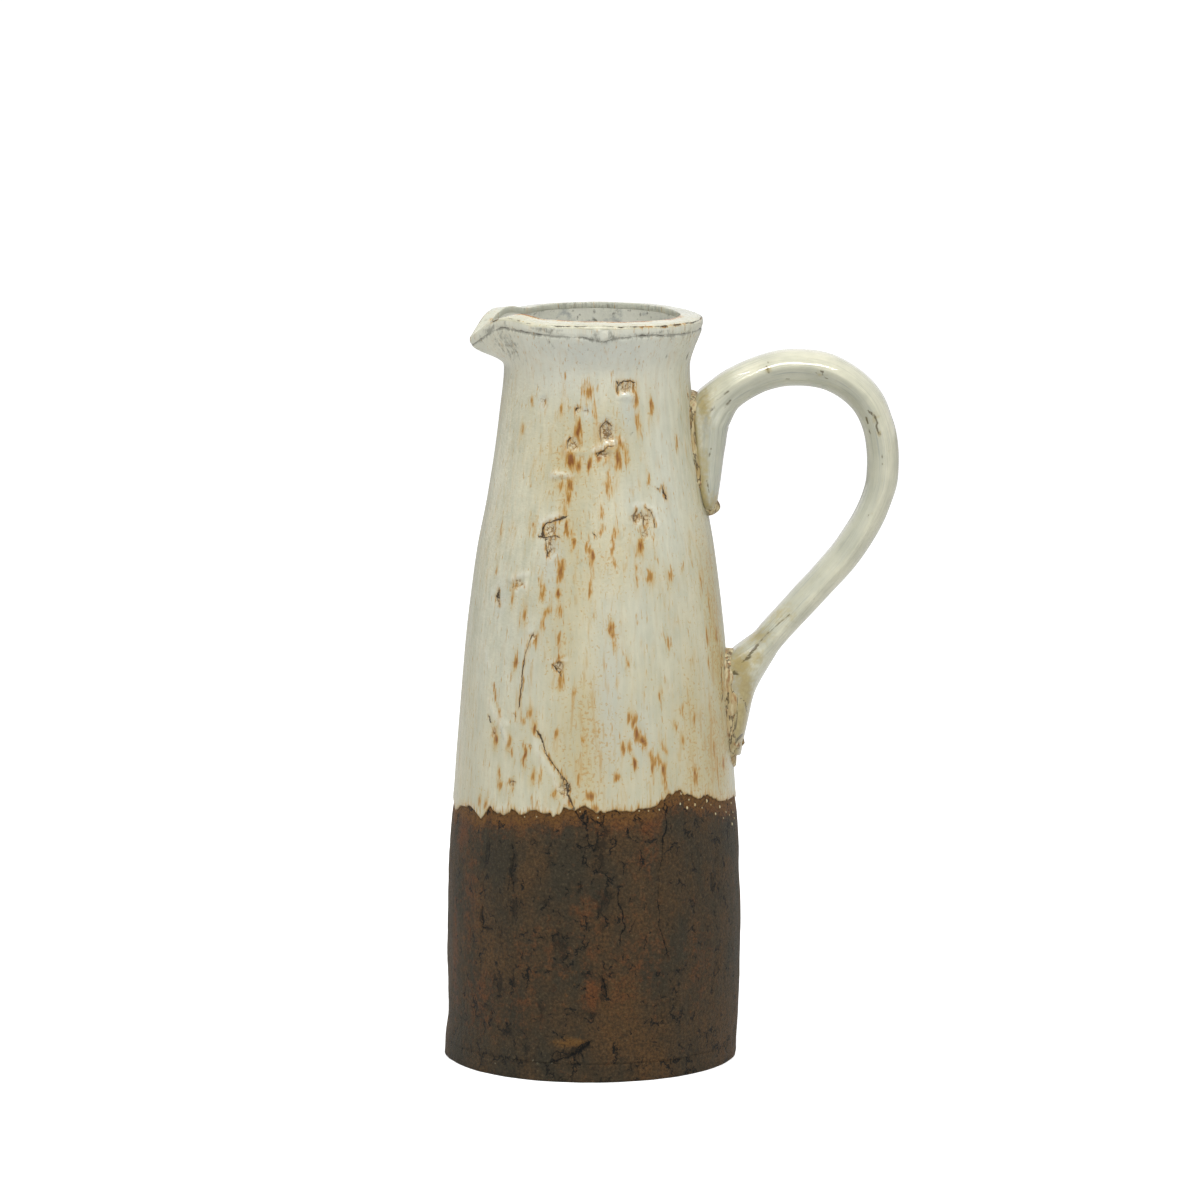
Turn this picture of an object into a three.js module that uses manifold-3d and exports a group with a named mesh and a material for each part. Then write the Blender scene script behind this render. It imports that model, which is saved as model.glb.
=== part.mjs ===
// A hand-built terracotta jug: base slab, wrapped wall, flared collar with a pulled spout,
// rim band, strap handle on its luting clay, and the glaze coats that cover them.
// Millimetres, +Z up. The origin is the centre of the flat underside of the base slab.
// +X points to the handle, the spout points to -X.

import * as THREE from 'three';
import { mergeVertices } from 'three/addons/utils/BufferGeometryUtils.js';
import Module from 'manifold-3d';

const wasm = await Module();
wasm.setup();

// Driving dimensions of the body, over the glaze
const jugHeight = 320;
const footRadius = 62.2;
const bellySwelling = 0.8; // the belly stands out this far past the foot
const bellyHeight = 48;
const neckRadius = 39.6;
const neckDepth = 22; // rim down to the narrowest place
const rimFlare = 5.4; // the rim stands out this far past the neck
const rimSlope = 1.1; // the top of the rim falls this much towards its outer edge
const rimEdge = 1.4; // rounding of the rim's outer corner
const slabLedge = 0.4; // the slab sticks out this far under the wall
const slabThickness = 8;
const slabEdge = 1; // worn corner under the slab
const slabOffset = 0.9; // the wall stands this far off the slab's centre
const bodyLean = 1.8; // the axis drifts this far towards the handle, table to rim

// Clay and glaze
const wallThickness = 5;
const glazeThickness = 0.8;
const gap = 0.3; // clearance between two fused layers
const glazeDepth = 208; // rim down to the lower edge of the glaze
const collarDepth = 29; // rim down to the joint with the wall
const bandDepth = 9; // rim down to the lower edge of the rim band
const bandThickness = 2.2;
const coilSize = 7; // legs of the coil in the floor corner

// Spout
const spoutReach = 9.8; // how far the tip stands out past the rim
const spoutDrop = 7.5; // how far the tip hangs below the rim
const spoutDepth = 23; // the pull starts this far below the rim
const spoutHalfAngle = THREE.MathUtils.degToRad(44);
const spoutAzimuth = THREE.MathUtils.degToRad(190);
const shoulderRise = 2.8; // the rim lifts beside the spout
const pullSharpness = 1.55; // 1 pulls the lip to a straight-sided point
const notchSharpness = 2.4; // the dip of the rim is narrower than the pull

// Handle, clay only
const handleSpan = 78.8; // furthest that the strap's centreline stands off the wall
const handleDrop = 21.7; // rim down to the highest point of the centreline
const handleClearance = 18; // its lowest point lies this far above the glaze line
const strapThickness = 12; // at the upper root, it thins out evenly to the lower one
const strapLowThickness = 10;
const strapBendThickness = 15.5; // where the upper end turns down on to the wall
const bendLength = 34; // length over which it swells to that
const strapWidth = 23;
const strapRootWidth = 27.5;
const strapTipThickness = 3;
const upperTail = 34; // length over which the upper end thins out on the wall
const lowerTail = 48;
const lutingThickness = 2; // clay between the wall and the strap
const lutingLip = 3.2; // how far it squeezes out round the strap
const lutingRise = 4; // height of the squeezed clay above the wall's clay

// Where the ends of the wall slab and of the rim band meet
const wallSeamShare = 0.5; // sideways place of the seam, in belly radii
const bandSeamAzimuth = THREE.MathUtils.degToRad(-88);
const bandSeamSlant = THREE.MathUtils.degToRad(62);

// How finely the round forms are divided
const columns = 48;
const coveSteps = 5;
const handleSteps = 32;
const strapSides = 12;
const strapSquareness = 0.72; // exponent of the strap's rounded section, 1 is an ellipse
const overrun = 6; // a cut runs this far past what it cuts

const skin = glazeThickness + gap;
const bellyRadius = footRadius + bellySwelling;
const slabRadius = footRadius + slabLedge;
const rimRadius = neckRadius + rimFlare;
const mouthRadius = rimRadius - skin - bandThickness - gap - wallThickness - skin;
const lipRadius = rimRadius - skin - bandThickness - gap;
const neckHeight = jugHeight - neckDepth;
const jointHeight = jugHeight - collarDepth;
const bandFoot = jugHeight - bandDepth;
const spoutFoot = jugHeight - spoutDepth;
const coilTop = slabThickness + coilSize;
const rimEdgeHeight = jugHeight - rimSlope - rimEdge;
const glazeLineHeight = jugHeight - glazeDepth;
const handleTop = jugHeight - handleDrop;
const handleFoot = glazeLineHeight + handleClearance;

// Outline between belly and neck: share of the height, share of the swelling that is left
const shoulderShares = [
  [0.18, 0.95], [0.38, 0.8], [0.51, 0.7], [0.63, 0.56],
  [0.7, 0.45], [0.77, 0.31], [0.86, 0.15], [0.93, 0.06],
];
// Outline between neck and rim: share of the height, share of the flare
const flareShares = [[0.15, 0.06], [0.42, 0.38], [0.62, 0.68], [0.8, 0.92]];
// Handle centreline: share of its height, share of its span, from the upper tip to the lower
const handleShares = [
  [0.636, 0.015], [0.713, 0.044], [0.796, 0.064], [0.865, 0.083], [0.929, 0.18],
  [0.981, 0.37], [1, 0.55], [0.983, 0.77], [0.91, 0.945], [0.8, 1],
  [0.681, 0.947], [0.537, 0.738], [0.392, 0.43], [0.28, 0.2], [0.19, 0.093],
  [0.098, 0.046], [0.006, 0.011],
];
// Levels of the rings between glaze line and joint, and between joint and band
const wallRingShares = [0.14, 0.28, 0.41, 0.53, 0.64, 0.74, 0.83, 0.92];
const collarRingShares = [0.3, 0.55, 0.8];
const footRingShares = [0.15, 0.4, 0.7];

const mix = THREE.MathUtils.lerp;

const outlineHeights = [
  0,
  bellyHeight,
  ...shoulderShares.map(([up]) => mix(bellyHeight, neckHeight, up)),
  neckHeight,
  ...flareShares.map(([up]) => mix(neckHeight, rimEdgeHeight, up)),
  rimEdgeHeight,
];
const outlineRadii = [
  footRadius,
  bellyRadius,
  ...shoulderShares.map(([, swelling]) => mix(neckRadius, bellyRadius, swelling)),
  neckRadius,
  ...flareShares.map(([, flare]) => mix(neckRadius, rimRadius, flare)),
  rimRadius,
];
const outline = new THREE.CubicInterpolant(outlineHeights, outlineRadii, 1);

// Radius over the glaze at a height
function outerRadius(z) {
  return outline.evaluate(z)[0];
}

// Radius of the clay under the glaze
function clayRadius(z) {
  return outerRadius(z) - skin;
}

// Radius of the wall and collar alone: above the neck they stay inside the rim band
function collarRadius(z) {
  return z < neckHeight ? clayRadius(z) : Math.min(clayRadius(z), lipRadius);
}

// Inner face of the clay, which follows the outside one wall thickness in
function innerRadius(z) {
  return collarRadius(z) - wallThickness;
}

// Height of the glazed top of the rim at a radius
function rimTop(radius) {
  return jugHeight - rimSlope * (radius - mouthRadius) / (rimRadius - mouthRadius);
}

// Sideways place of the body's axis at a height
function axisAt(z) {
  return slabOffset + bodyLean * z / jugHeight;
}

const wallLevels = wallRingShares.map((share) => mix(glazeLineHeight, jointHeight, share));
const collarLevels = collarRingShares.map((share) => mix(jointHeight, bandFoot, share));
const footLevels = footRingShares.map((share) => mix(slabThickness, glazeLineHeight, share));
// The inside bends less than the outside, so every second ring is enough
const insideLevels = [footLevels[1], glazeLineHeight, ...wallLevels.filter((z, i) => i % 2)];
const lipLevels = [bandFoot, mix(bandFoot, rimEdgeHeight, 0.5)];
const mouthLevels = [...collarLevels.slice(1), ...lipLevels];

// Moves a point of the round body to its place: the spout is pulled out, then the axis leans
function handShaped(x, y, z) {
  const radius = Math.hypot(x, y);
  if (radius === 0) {
    return [axisAt(z), 0, z];
  }
  const azimuth = Math.atan2(y, x);
  const turn = Math.atan2(Math.sin(azimuth - spoutAzimuth), Math.cos(azimuth - spoutAzimuth));
  const aside = Math.min(Math.abs(turn) / spoutHalfAngle, 1);
  const lift = THREE.MathUtils.smoothstep(z, spoutFoot, rimEdgeHeight);
  const pull = (1 - aside) ** pullSharpness;
  const notch = (1 - aside) ** notchSharpness;
  const shoulder = Math.sin(Math.PI * aside) ** 2;
  const shapedRadius = radius + spoutReach * lift * pull;
  const shapedHeight = z + lift * (shoulderRise * shoulder - spoutDrop * notch);
  return [
    shapedRadius * Math.cos(azimuth) + axisAt(z),
    shapedRadius * Math.sin(azimuth),
    shapedHeight,
  ];
}

// Keeps positions only, shares equal corners and drops triangles that have shrunk to a line
function sealed(geometry) {
  geometry.deleteAttribute('normal');
  geometry.deleteAttribute('uv');
  const merged = mergeVertices(geometry);
  const kept = [];
  const corners = merged.index.array;
  for (let i = 0; i < corners.length; i += 3) {
    const [a, b, c] = corners.subarray(i, i + 3);
    if (a !== b && b !== c && c !== a) {
      kept.push(a, b, c);
    }
  }
  merged.setIndex(kept);
  return merged;
}

// Splits the four-sided faces of a turned form along one diagonal, also where the section runs
// down, so that two layers with a gap between them stay parallel in the twisted spout
function sameDiagonals(geometry, points) {
  const corners = geometry.index.array;
  const steps = points.length - 1;
  for (let face = 0; face < columns * steps; face += 1) {
    const step = face % steps;
    if (points[step + 1].y < points[step].y) {
      const [a, b, d, c] = corners.subarray(6 * face, 6 * face + 4);
      corners.set([a, b, c, a, c, d], 6 * face);
    }
  }
  return geometry;
}

// Turns a section of [radius, height] points about the axis; shaped by hand unless told not to
function turned(section, place = handShaped) {
  const points = section.map(([radius, z]) => new THREE.Vector2(radius, z));
  const lathed = sameDiagonals(new THREE.LatheGeometry(points, columns), points);
  const geometry = sealed(lathed.rotateX(Math.PI / 2));
  const positions = geometry.attributes.position;
  for (let i = 0; i < positions.count; i += 1) {
    positions.setXYZ(i, ...place(positions.getX(i), positions.getY(i), positions.getZ(i)));
  }
  return geometry;
}

// Joins equal rings of points, one after another, into a closed bar with flat ends
function lofted(rings) {
  const sides = rings[0].length;
  const positions = rings.flat().flatMap((point) => [point.x, point.y, point.z]);
  const triangles = [];
  for (let ring = 1; ring < rings.length; ring += 1) {
    for (let side = 0; side < sides; side += 1) {
      const next = (side + 1) % sides;
      const low = (ring - 1) * sides;
      const high = ring * sides;
      triangles.push(low + side, low + next, high + next);
      triangles.push(low + side, high + next, high + side);
    }
  }
  const last = (rings.length - 1) * sides;
  for (let side = 2; side < sides; side += 1) {
    triangles.push(0, side, side - 1);
    triangles.push(last, last + side - 1, last + side);
  }
  const geometry = new THREE.BufferGeometry();
  geometry.setAttribute('position', new THREE.Float32BufferAttribute(positions, 3));
  geometry.setIndex(triangles);
  return geometry;
}

// A closed geometry as a solid that can be cut and joined
function solid(geometry) {
  const vertProperties = new Float32Array(geometry.attributes.position.array);
  const triVerts = new Uint32Array(geometry.index.array);
  return new wasm.Manifold(new wasm.Mesh({ numProp: 3, vertProperties, triVerts }));
}

// A cut solid back as a geometry
function geometryOf(cut) {
  const { vertProperties, triVerts } = cut.getMesh();
  const geometry = new THREE.BufferGeometry();
  geometry.setAttribute('position', new THREE.BufferAttribute(vertProperties, 3));
  geometry.setIndex(new THREE.BufferAttribute(triVerts, 1));
  return geometry;
}

// Everything inside the clay of the upper body, grown by an offset, to cut the handle with
function bodyGrown(offset) {
  const levels = [
    ...footLevels,
    glazeLineHeight,
    ...wallLevels,
    jointHeight,
    ...collarLevels,
    bandFoot,
  ];
  const section = [
    [0, levels[0]],
    ...levels.map((z) => [clayRadius(z) + offset, z]),
    [0, bandFoot],
  ];
  return solid(turned(section));
}

// Handle centreline: it stands off the wall by shares of the span
const handlePoints = handleShares.map(([up, off]) => {
  const z = mix(handleFoot, handleTop, up);
  return new THREE.Vector3(outerRadius(z) + axisAt(z) + off * handleSpan, 0, z);
});
const handlePath = new THREE.CatmullRomCurve3(handlePoints, false, 'centripetal');
const handleLength = handlePath.getLength();

// The strap along its centreline, with every face moved out by growth
function strapGrown(growth) {
  const rings = [];
  for (let step = 0; step <= handleSteps; step += 1) {
    const share = step / handleSteps;
    const middle = handlePath.getPointAt(share);
    const along = handlePath.getTangentAt(share);
    const across = new THREE.Vector3(along.z, 0, -along.x);
    const fromTop = share * handleLength;
    const fromFoot = handleLength - fromTop;
    const rooted = Math.max(1 - fromTop / upperTail, 1 - fromFoot / lowerTail, 0);
    const even = mix(strapThickness, strapLowThickness, share);
    const bent = Math.max(1 - Math.abs(fromTop - upperTail) / bendLength, 0);
    const swollen = mix(even, strapBendThickness, bent);
    const halfThickness = mix(swollen, strapTipThickness, rooted) / 2 + growth;
    const halfWidth = mix(strapWidth, strapRootWidth, rooted) / 2 + growth;
    if (step === 0) {
      middle.addScaledVector(along, -growth);
    }
    if (step === handleSteps) {
      middle.addScaledVector(along, growth);
    }
    const ring = [];
    for (let side = 0; side < strapSides; side += 1) {
      const angle = 2 * Math.PI * (side + 0.5) / strapSides;
      const out = Math.sign(Math.cos(angle)) * Math.abs(Math.cos(angle)) ** strapSquareness;
      const aside = Math.sign(Math.sin(angle)) * Math.abs(Math.sin(angle)) ** strapSquareness;
      const point = middle.clone().addScaledVector(across, out * halfThickness);
      point.y += aside * halfWidth;
      ring.push(point);
    }
    rings.push(ring);
  }
  return solid(lofted(rings));
}

// A thin upright blade through one side of a ring, where the ends of its strip meet
function seamBlade(radius, azimuth, slant, length, foot, top) {
  const blade = new THREE.BoxGeometry(length, gap, top - foot);
  blade.rotateZ(azimuth + slant);
  blade.translate(
    radius * Math.cos(azimuth) + axisAt(top),
    radius * Math.sin(azimuth),
    (foot + top) / 2,
  );
  return solid(sealed(blade));
}

// Disc under the wall, with a worn lower corner
function baseSlab() {
  const section = [
    [0, 0],
    [slabRadius - slabEdge, 0],
    [slabRadius - slabEdge / 3, slabEdge / 3],
    [slabRadius, slabEdge],
    [slabRadius, slabThickness],
    [0, slabThickness],
  ];
  return turned(section, (x, y, z) => [x, y, z]);
}

// Points of the hollow quarter round between floor and wall, an offset in from the coil's face
function cove(offset) {
  const reach = Math.min(innerRadius(slabThickness), innerRadius(coilTop)) - gap;
  return Array.from({ length: coveSteps + 1 }, (_, step) => {
    const angle = step / coveSteps * Math.PI / 2;
    return [
      reach - coilSize + (coilSize - offset) * Math.sin(angle),
      coilTop - (coilSize - offset) * Math.cos(angle),
    ];
  });
}

// Coil smoothed into the corner between floor and wall
function floorSeamCoil() {
  const foot = [innerRadius(slabThickness) - gap, slabThickness];
  const top = [innerRadius(coilTop) - gap, coilTop];
  return turned([foot, top, ...cove(0).slice(0, coveSteps).reverse(), foot]);
}

// Wall slab wrapped round, with a lap seam, stepped in where the glaze begins
function bodyWall() {
  const step = glazeLineHeight - gap;
  const outside = [
    ...[slabThickness, ...footLevels, step].map((z) => [outerRadius(z), z]),
    ...[step, ...wallLevels, jointHeight].map((z) => [clayRadius(z), z]),
  ];
  const bevelTop = jointHeight + wallThickness;
  const inside = [slabThickness, coilTop, ...insideLevels, bevelTop]
    .map((z) => [innerRadius(z), z])
    .reverse();
  const ring = solid(turned([...outside, ...inside, outside[0]]));
  const seamAside = wallSeamShare * bellyRadius;
  const seam = seamBlade(
    Math.hypot(seamAside, bellyRadius),
    -Math.atan2(bellyRadius, seamAside),
    Math.atan2(bellyRadius, seamAside) - Math.PI / 2,
    2 * bellyRadius - gap,
    0,
    jugHeight,
  );
  return geometryOf(ring.subtract(seam));
}

// Flared collar with the pulled spout, bevelled where it laps on the wall
function neckCollar() {
  const bevelGap = gap * Math.SQRT2;
  const outerFoot = jointHeight + bevelGap;
  const innerFoot = jointHeight + wallThickness + bevelGap;
  const lipTop = rimTop(lipRadius) - skin;
  const lipInner = lipRadius - wallThickness;
  const outside = [outerFoot, ...collarLevels, ...lipLevels, lipTop]
    .map((z) => [collarRadius(z), z]);
  const inside = [innerFoot, ...mouthLevels].map((z) => [innerRadius(z), z]).reverse();
  const topInner = [lipInner, rimTop(lipInner) - skin];
  return turned([...outside, topInner, ...inside, outside[0]]);
}

// Strip pressed round the outside of the lip, its ends lapped at the front
function rimBand() {
  const inner = lipRadius + gap;
  const corner = rimEdgeHeight - gap;
  const rise = [...lipLevels, corner];
  const section = [
    [inner, bandFoot],
    ...rise.map((z) => [clayRadius(z), z]),
    [rimRadius - skin - rimEdge, rimTop(rimRadius - rimEdge) - skin],
    [inner, rimTop(inner) - skin],
    ...rise.map((z) => [inner, z]).reverse(),
  ];
  const ring = solid(turned(section));
  const bladeLength = bandThickness / Math.cos(bandSeamSlant) + overrun;
  const middle = inner + bandThickness / 2;
  const foot = bandFoot - overrun;
  const top = jugHeight + overrun;
  const seam = seamBlade(middle, bandSeamAzimuth, bandSeamSlant, bladeLength, foot, top);
  return geometryOf(ring.subtract(seam));
}

// Glaze inside: over the floor, round the coil and up to the lip
function innerGlazeLiner() {
  const floor = slabThickness + gap;
  const bevelTop = jointHeight + wallThickness;
  const levels = [...insideLevels, bevelTop, ...mouthLevels];
  const lipTop = jugHeight - glazeThickness - gap;
  const side = (offset) => [
    ...levels.map((z) => [innerRadius(z) - offset, z]),
    [lipRadius - wallThickness - offset, lipTop],
  ];
  const section = [
    [0, floor],
    ...cove(gap),
    ...side(gap),
    ...[...cove(skin), ...side(skin)].reverse(),
    [0, floor + glazeThickness],
  ];
  return turned(section);
}

// Glaze outside: from the glaze line up the wall, over the rim to the mouth
function outerGlazeCoat() {
  const levels = [glazeLineHeight, ...wallLevels, jointHeight, ...collarLevels, ...lipLevels,
    rimEdgeHeight];
  const shoulder = rimRadius - rimEdge;
  const outside = levels.map((z) => [outerRadius(z), z]);
  const inside = levels.map((z) => [outerRadius(z) - glazeThickness, z]);
  const section = [
    ...outside,
    [shoulder, rimTop(shoulder)],
    [mouthRadius, rimTop(mouthRadius)],
    [mouthRadius, rimTop(mouthRadius) - glazeThickness],
    [shoulder - glazeThickness / 2, rimTop(shoulder) - glazeThickness],
    ...inside.reverse(),
    outside[0],
  ];
  return geometryOf(solid(turned(section)).subtract(strapGrown(lutingLip + gap)));
}

// Strap with its wall side pressed to the round of the wall, one luting thickness off it
function handleStrap() {
  return geometryOf(strapGrown(0).subtract(bodyGrown(lutingThickness)));
}

// Clay between wall and strap, squeezed out round both roots; the upper pad comes first
function handleLutings() {
  const strapSeat = strapGrown(gap).subtract(bodyGrown(lutingThickness - gap));
  const pads = strapGrown(lutingLip)
    .intersect(bodyGrown(lutingRise))
    .subtract(bodyGrown(gap))
    .subtract(strapSeat)
    .decompose();
  pads.sort((a, b) => b.boundingBox().max[2] - a.boundingBox().max[2]);
  return pads.map(geometryOf);
}

// Glaze round the strap, open at both roots where it meets the luting
function handleGlazeCoat() {
  const sleeve = strapGrown(skin).subtract(strapGrown(gap)).subtract(bodyGrown(lutingRise + gap));
  return geometryOf(sleeve);
}

const clay = { color: 0x544231, roughness: 0.85, metalness: 0 };
const luting = { color: 0xa08565, roughness: 0.8, metalness: 0 };
const glaze = { color: 0xbcb8a1, roughness: 0.25, metalness: 0 };
const [upperLuting, lowerLuting] = handleLutings();

const jug = new THREE.Group();
const pieces = [
  ['base_slab', baseSlab(), clay],
  ['floor_seam_coil', floorSeamCoil(), clay],
  ['body_wall', bodyWall(), clay],
  ['neck_collar', neckCollar(), clay],
  ['rim_band', rimBand(), clay],
  ['handle_strap', handleStrap(), clay],
  ['upper_handle_luting', upperLuting, luting],
  ['lower_handle_luting', lowerLuting, luting],
  ['inner_glaze_liner', innerGlazeLiner(), glaze],
  ['outer_glaze_coat', outerGlazeCoat(), glaze],
  ['handle_glaze_coat', handleGlazeCoat(), glaze],
];
for (const [name, geometry, look] of pieces) {
  const mesh = new THREE.Mesh(geometry, new THREE.MeshStandardMaterial(look));
  mesh.name = name;
  jug.add(mesh);
}

export default jug;
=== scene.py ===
"""Looks of a hand-built terracotta jug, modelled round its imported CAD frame.

One formula gives every surface of the pot. A point has an azimuth round the body's axis, a radius
and a height. The radius follows a smooth outline through a few heights, less a depth into the
wall. Inside the spout's angle and near the rim the radius grows by the pull, and the height falls
by the notch and rises at both shoulders. Last, the axis leans towards the handle. Relief, such as
pits, cracks, lumps and the thick edge of the glaze, is added to the radius before that.

The handle is a rounded section with a ridge on both narrow sides, carried along a curve and
pressed on to the round of the wall where it would cut into it.

Marks are placed by pixels of the photograph. The camera's formula turns a pixel into an azimuth
and a height on the body, so that a mark stays on the surface seen from any side.

Lengths are in millimetres until a mesh is made, which is in metres.
"""

import math

import bpy
import numpy as np
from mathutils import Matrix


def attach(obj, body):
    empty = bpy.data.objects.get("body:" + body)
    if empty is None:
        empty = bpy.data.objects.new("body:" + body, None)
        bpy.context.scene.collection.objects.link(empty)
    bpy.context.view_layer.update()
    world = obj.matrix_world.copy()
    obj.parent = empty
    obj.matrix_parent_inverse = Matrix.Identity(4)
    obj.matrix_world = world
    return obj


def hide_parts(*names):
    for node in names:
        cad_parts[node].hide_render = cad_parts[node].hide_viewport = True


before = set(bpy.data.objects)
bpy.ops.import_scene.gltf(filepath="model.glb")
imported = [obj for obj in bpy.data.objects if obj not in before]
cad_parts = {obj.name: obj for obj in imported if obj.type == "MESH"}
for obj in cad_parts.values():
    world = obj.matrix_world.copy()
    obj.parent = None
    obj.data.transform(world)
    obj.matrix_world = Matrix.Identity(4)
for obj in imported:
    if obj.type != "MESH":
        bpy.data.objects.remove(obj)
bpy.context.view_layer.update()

MM = 0.001

# Body, over the glaze, as in the CAD part
JUG_HEIGHT = 320.0
FOOT_RADIUS = 62.2
BELLY_RADIUS = 63.0
BELLY_HEIGHT = 48.0
NECK_RADIUS = 39.6
NECK_HEIGHT = 298.0
RIM_RADIUS = 45.0
RIM_SLOPE = 1.1
RIM_EDGE = 1.4
SLAB_RADIUS = 62.6
SLAB_THICKNESS = 8.0
SLAB_OFFSET = 0.9
BODY_LEAN = 1.8
WALL_THICKNESS = 5.0
GLAZE_THICKNESS = 0.8
GAP = 0.3
GLAZE_LINE = 112.0
JOINT_HEIGHT = 291.0
BAND_FOOT = 311.0
BAND_THICKNESS = 2.2
COIL_SIZE = 7.0
SKIN = GLAZE_THICKNESS + GAP
LIP_RADIUS = RIM_RADIUS - SKIN - BAND_THICKNESS - GAP
MOUTH_RADIUS = LIP_RADIUS - WALL_THICKNESS - SKIN
RIM_EDGE_HEIGHT = JUG_HEIGHT - RIM_SLOPE - RIM_EDGE

# Spout
SPOUT_REACH = 9.8
SPOUT_DROP = 7.5
SPOUT_FOOT = 297.0
SPOUT_HALF_ANGLE = math.radians(44)
SPOUT_AZIMUTH = math.radians(190)
LIP_THINNING = 5.0
SHOULDER_RISE = 2.8
PULL_SHARPNESS = 1.9
BEAK_SHARPNESS = 1.3
NOTCH_SHARPNESS = 2.4
# How far the rim rises at an azimuth in degrees
RIM_RISES = np.array([
    [-180, 0.0], [-160, 1.2], [-140, 1.3], [-115, 1.5], [-90, 1.4], [-50, 0.7], [-20, 0.3],
    [20, 0.4], [60, 1.2], [90, 1.4], [130, 1.2], [165, 0.5], [180, 0.0],
])

# Handle
HANDLE_SPAN = 78.8
HANDLE_TOP = 298.3
HANDLE_FOOT = 130.0
STRAP_THICKNESS = 12.0
STRAP_LOW_THICKNESS = 10.0
STRAP_BEND_THICKNESS = 15.5
BEND_LENGTH = 34.0
STRAP_WIDTH = 23.0
STRAP_ROOT_WIDTH = 27.5
STRAP_TIP_THICKNESS = 3.0
TIP_ROUNDING = 9.0
UPPER_TAIL = 34.0
LOWER_TAIL = 48.0
STRAP_SQUARENESS = 0.78
ROOT_SQUARENESS = 0.3
STRAP_RIDGE = 0.24
RIDGE_PLACE = -0.15
APEX_SWELL = 1.9
APEX_REACH = 30.0
UPPER_DRAPE = (36.0, 52.0)
LOWER_DRAPE = (36.0, 52.0)
GROOVES_BEGIN = (-10.0, 0.0)
GROOVES_END = (16.0, 40.0)
FINGER_GROOVE_DEPTH = 0.7
CORE_SUNK = 0.2
SLEEVE_SUNK = 0.35
GIRTH_PER_DEGREE = 0.3

# Luting clay: the squareness of its outline, its rings from the middle out and its steep border
PAD_SQUARENESS = 0.7
PAD_SHARES = np.array([0.3, 0.6, 0.75, 0.82, 0.86, 0.89, 0.92, 0.945, 0.965, 0.98, 0.992, 1.0])
PAD_BORDER = 0.16

# Relief of the glaze and the clay. The band is the strip round the rim, with a groove under it and
# a lap in front. The seam is the lap of the wall slab.
BAND_GROOVE = 314.7
GROOVE_REACH = 0.7
GROOVE_DEPTH = 0.55
GROOVE_HALF_WIDTH = 0.28
LAP_PX = (601, 332)
LAP_HALF_WIDTH = 5.5
LAP_SAG = 2.0
LAP_LUMP = 0.85
SEAM_PX = (662, 880)
SEAM_WIDTH = 6
SEAM_RIDGE = 0.35
RIM_LAP_LUMP = 0.8
RIM_WAVER = 0.16
CORNER_LINE_INSET = 0.55
CORNER_LINE_REACH = 0.4
CORNER_LINE_HALF_WIDTH = 0.35
WARP = 0.9
CREST_HEIGHT = 0.45
CRACK_DEPTH = 0.25
CLAY_CRACK_DEPTH = 0.4
STAIN_DEPTH = 0.25
UNDER_GLAZE_ROOM = 0.25
SMEAR_HEIGHT = 12.0
DIP_DEPTH = 0.45
DIP_REACH = 8.0
BEAD_REACH = 1.5
BEAD_HEIGHT = 0.6
BACK_DEPTH = 2.4
EDGE_LINE_HALF_WIDTH = 0.55
FRINGE_LENGTH = 2.5
PIT_DEPTH_BEHIND = 0.8
WORN_CORNER = 1.0
FOOT_DARKENING = 0.25
DROP_STRETCH = 1.25
DROP_HEIGHT = 0.6

# Marks on the side that the photograph doesn't show
BEHIND_SEED = 7
RUST_CLUSTERS = 15
STREAKS_IN_CLUSTER = 8
PITS_BEHIND = 9

# Outlines read off the photograph. Height between belly and neck, radius between neck and belly.
SHOULDER_SHARES = np.array([
    [0.18, 0.95], [0.38, 0.8], [0.51, 0.7], [0.63, 0.56],
    [0.7, 0.45], [0.77, 0.31], [0.86, 0.15], [0.93, 0.06],
])
# Height between neck and rim edge, radius between neck and rim.
FLARE_SHARES = np.array([[0.15, 0.06], [0.42, 0.38], [0.62, 0.68], [0.8, 0.92]])
# Height between the handle's ends, and how far its middle stands off the wall over its span.
HANDLE_SHARES = np.array([
    [0.636, 0.015], [0.713, 0.044], [0.796, 0.064], [0.865, 0.083], [0.929, 0.18],
    [0.981, 0.37], [1, 0.55], [0.983, 0.77], [0.91, 0.945], [0.8, 1],
    [0.681, 0.947], [0.537, 0.738], [0.392, 0.43], [0.28, 0.2], [0.19, 0.093],
    [0.098, 0.046], [0.006, 0.011],
])

# Camera, fitted to the photograph, which is 1200 pixels square: a long lens that looks down
IMAGE_SIZE = 1200
SENSOR = 36.0
FOCAL_PIXELS = 7459.0
CAMERA_SIDE = 3.93
CAMERA_DISTANCE = 3150.0
CAMERA_HEIGHT = 690.0
CAMERA_PITCH = math.radians(8.8916)
PIXELS_PER_MM = 2.34

# How often a pixel's place on the body is worked out again until it settles
RAY_TURNS = 24

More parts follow.
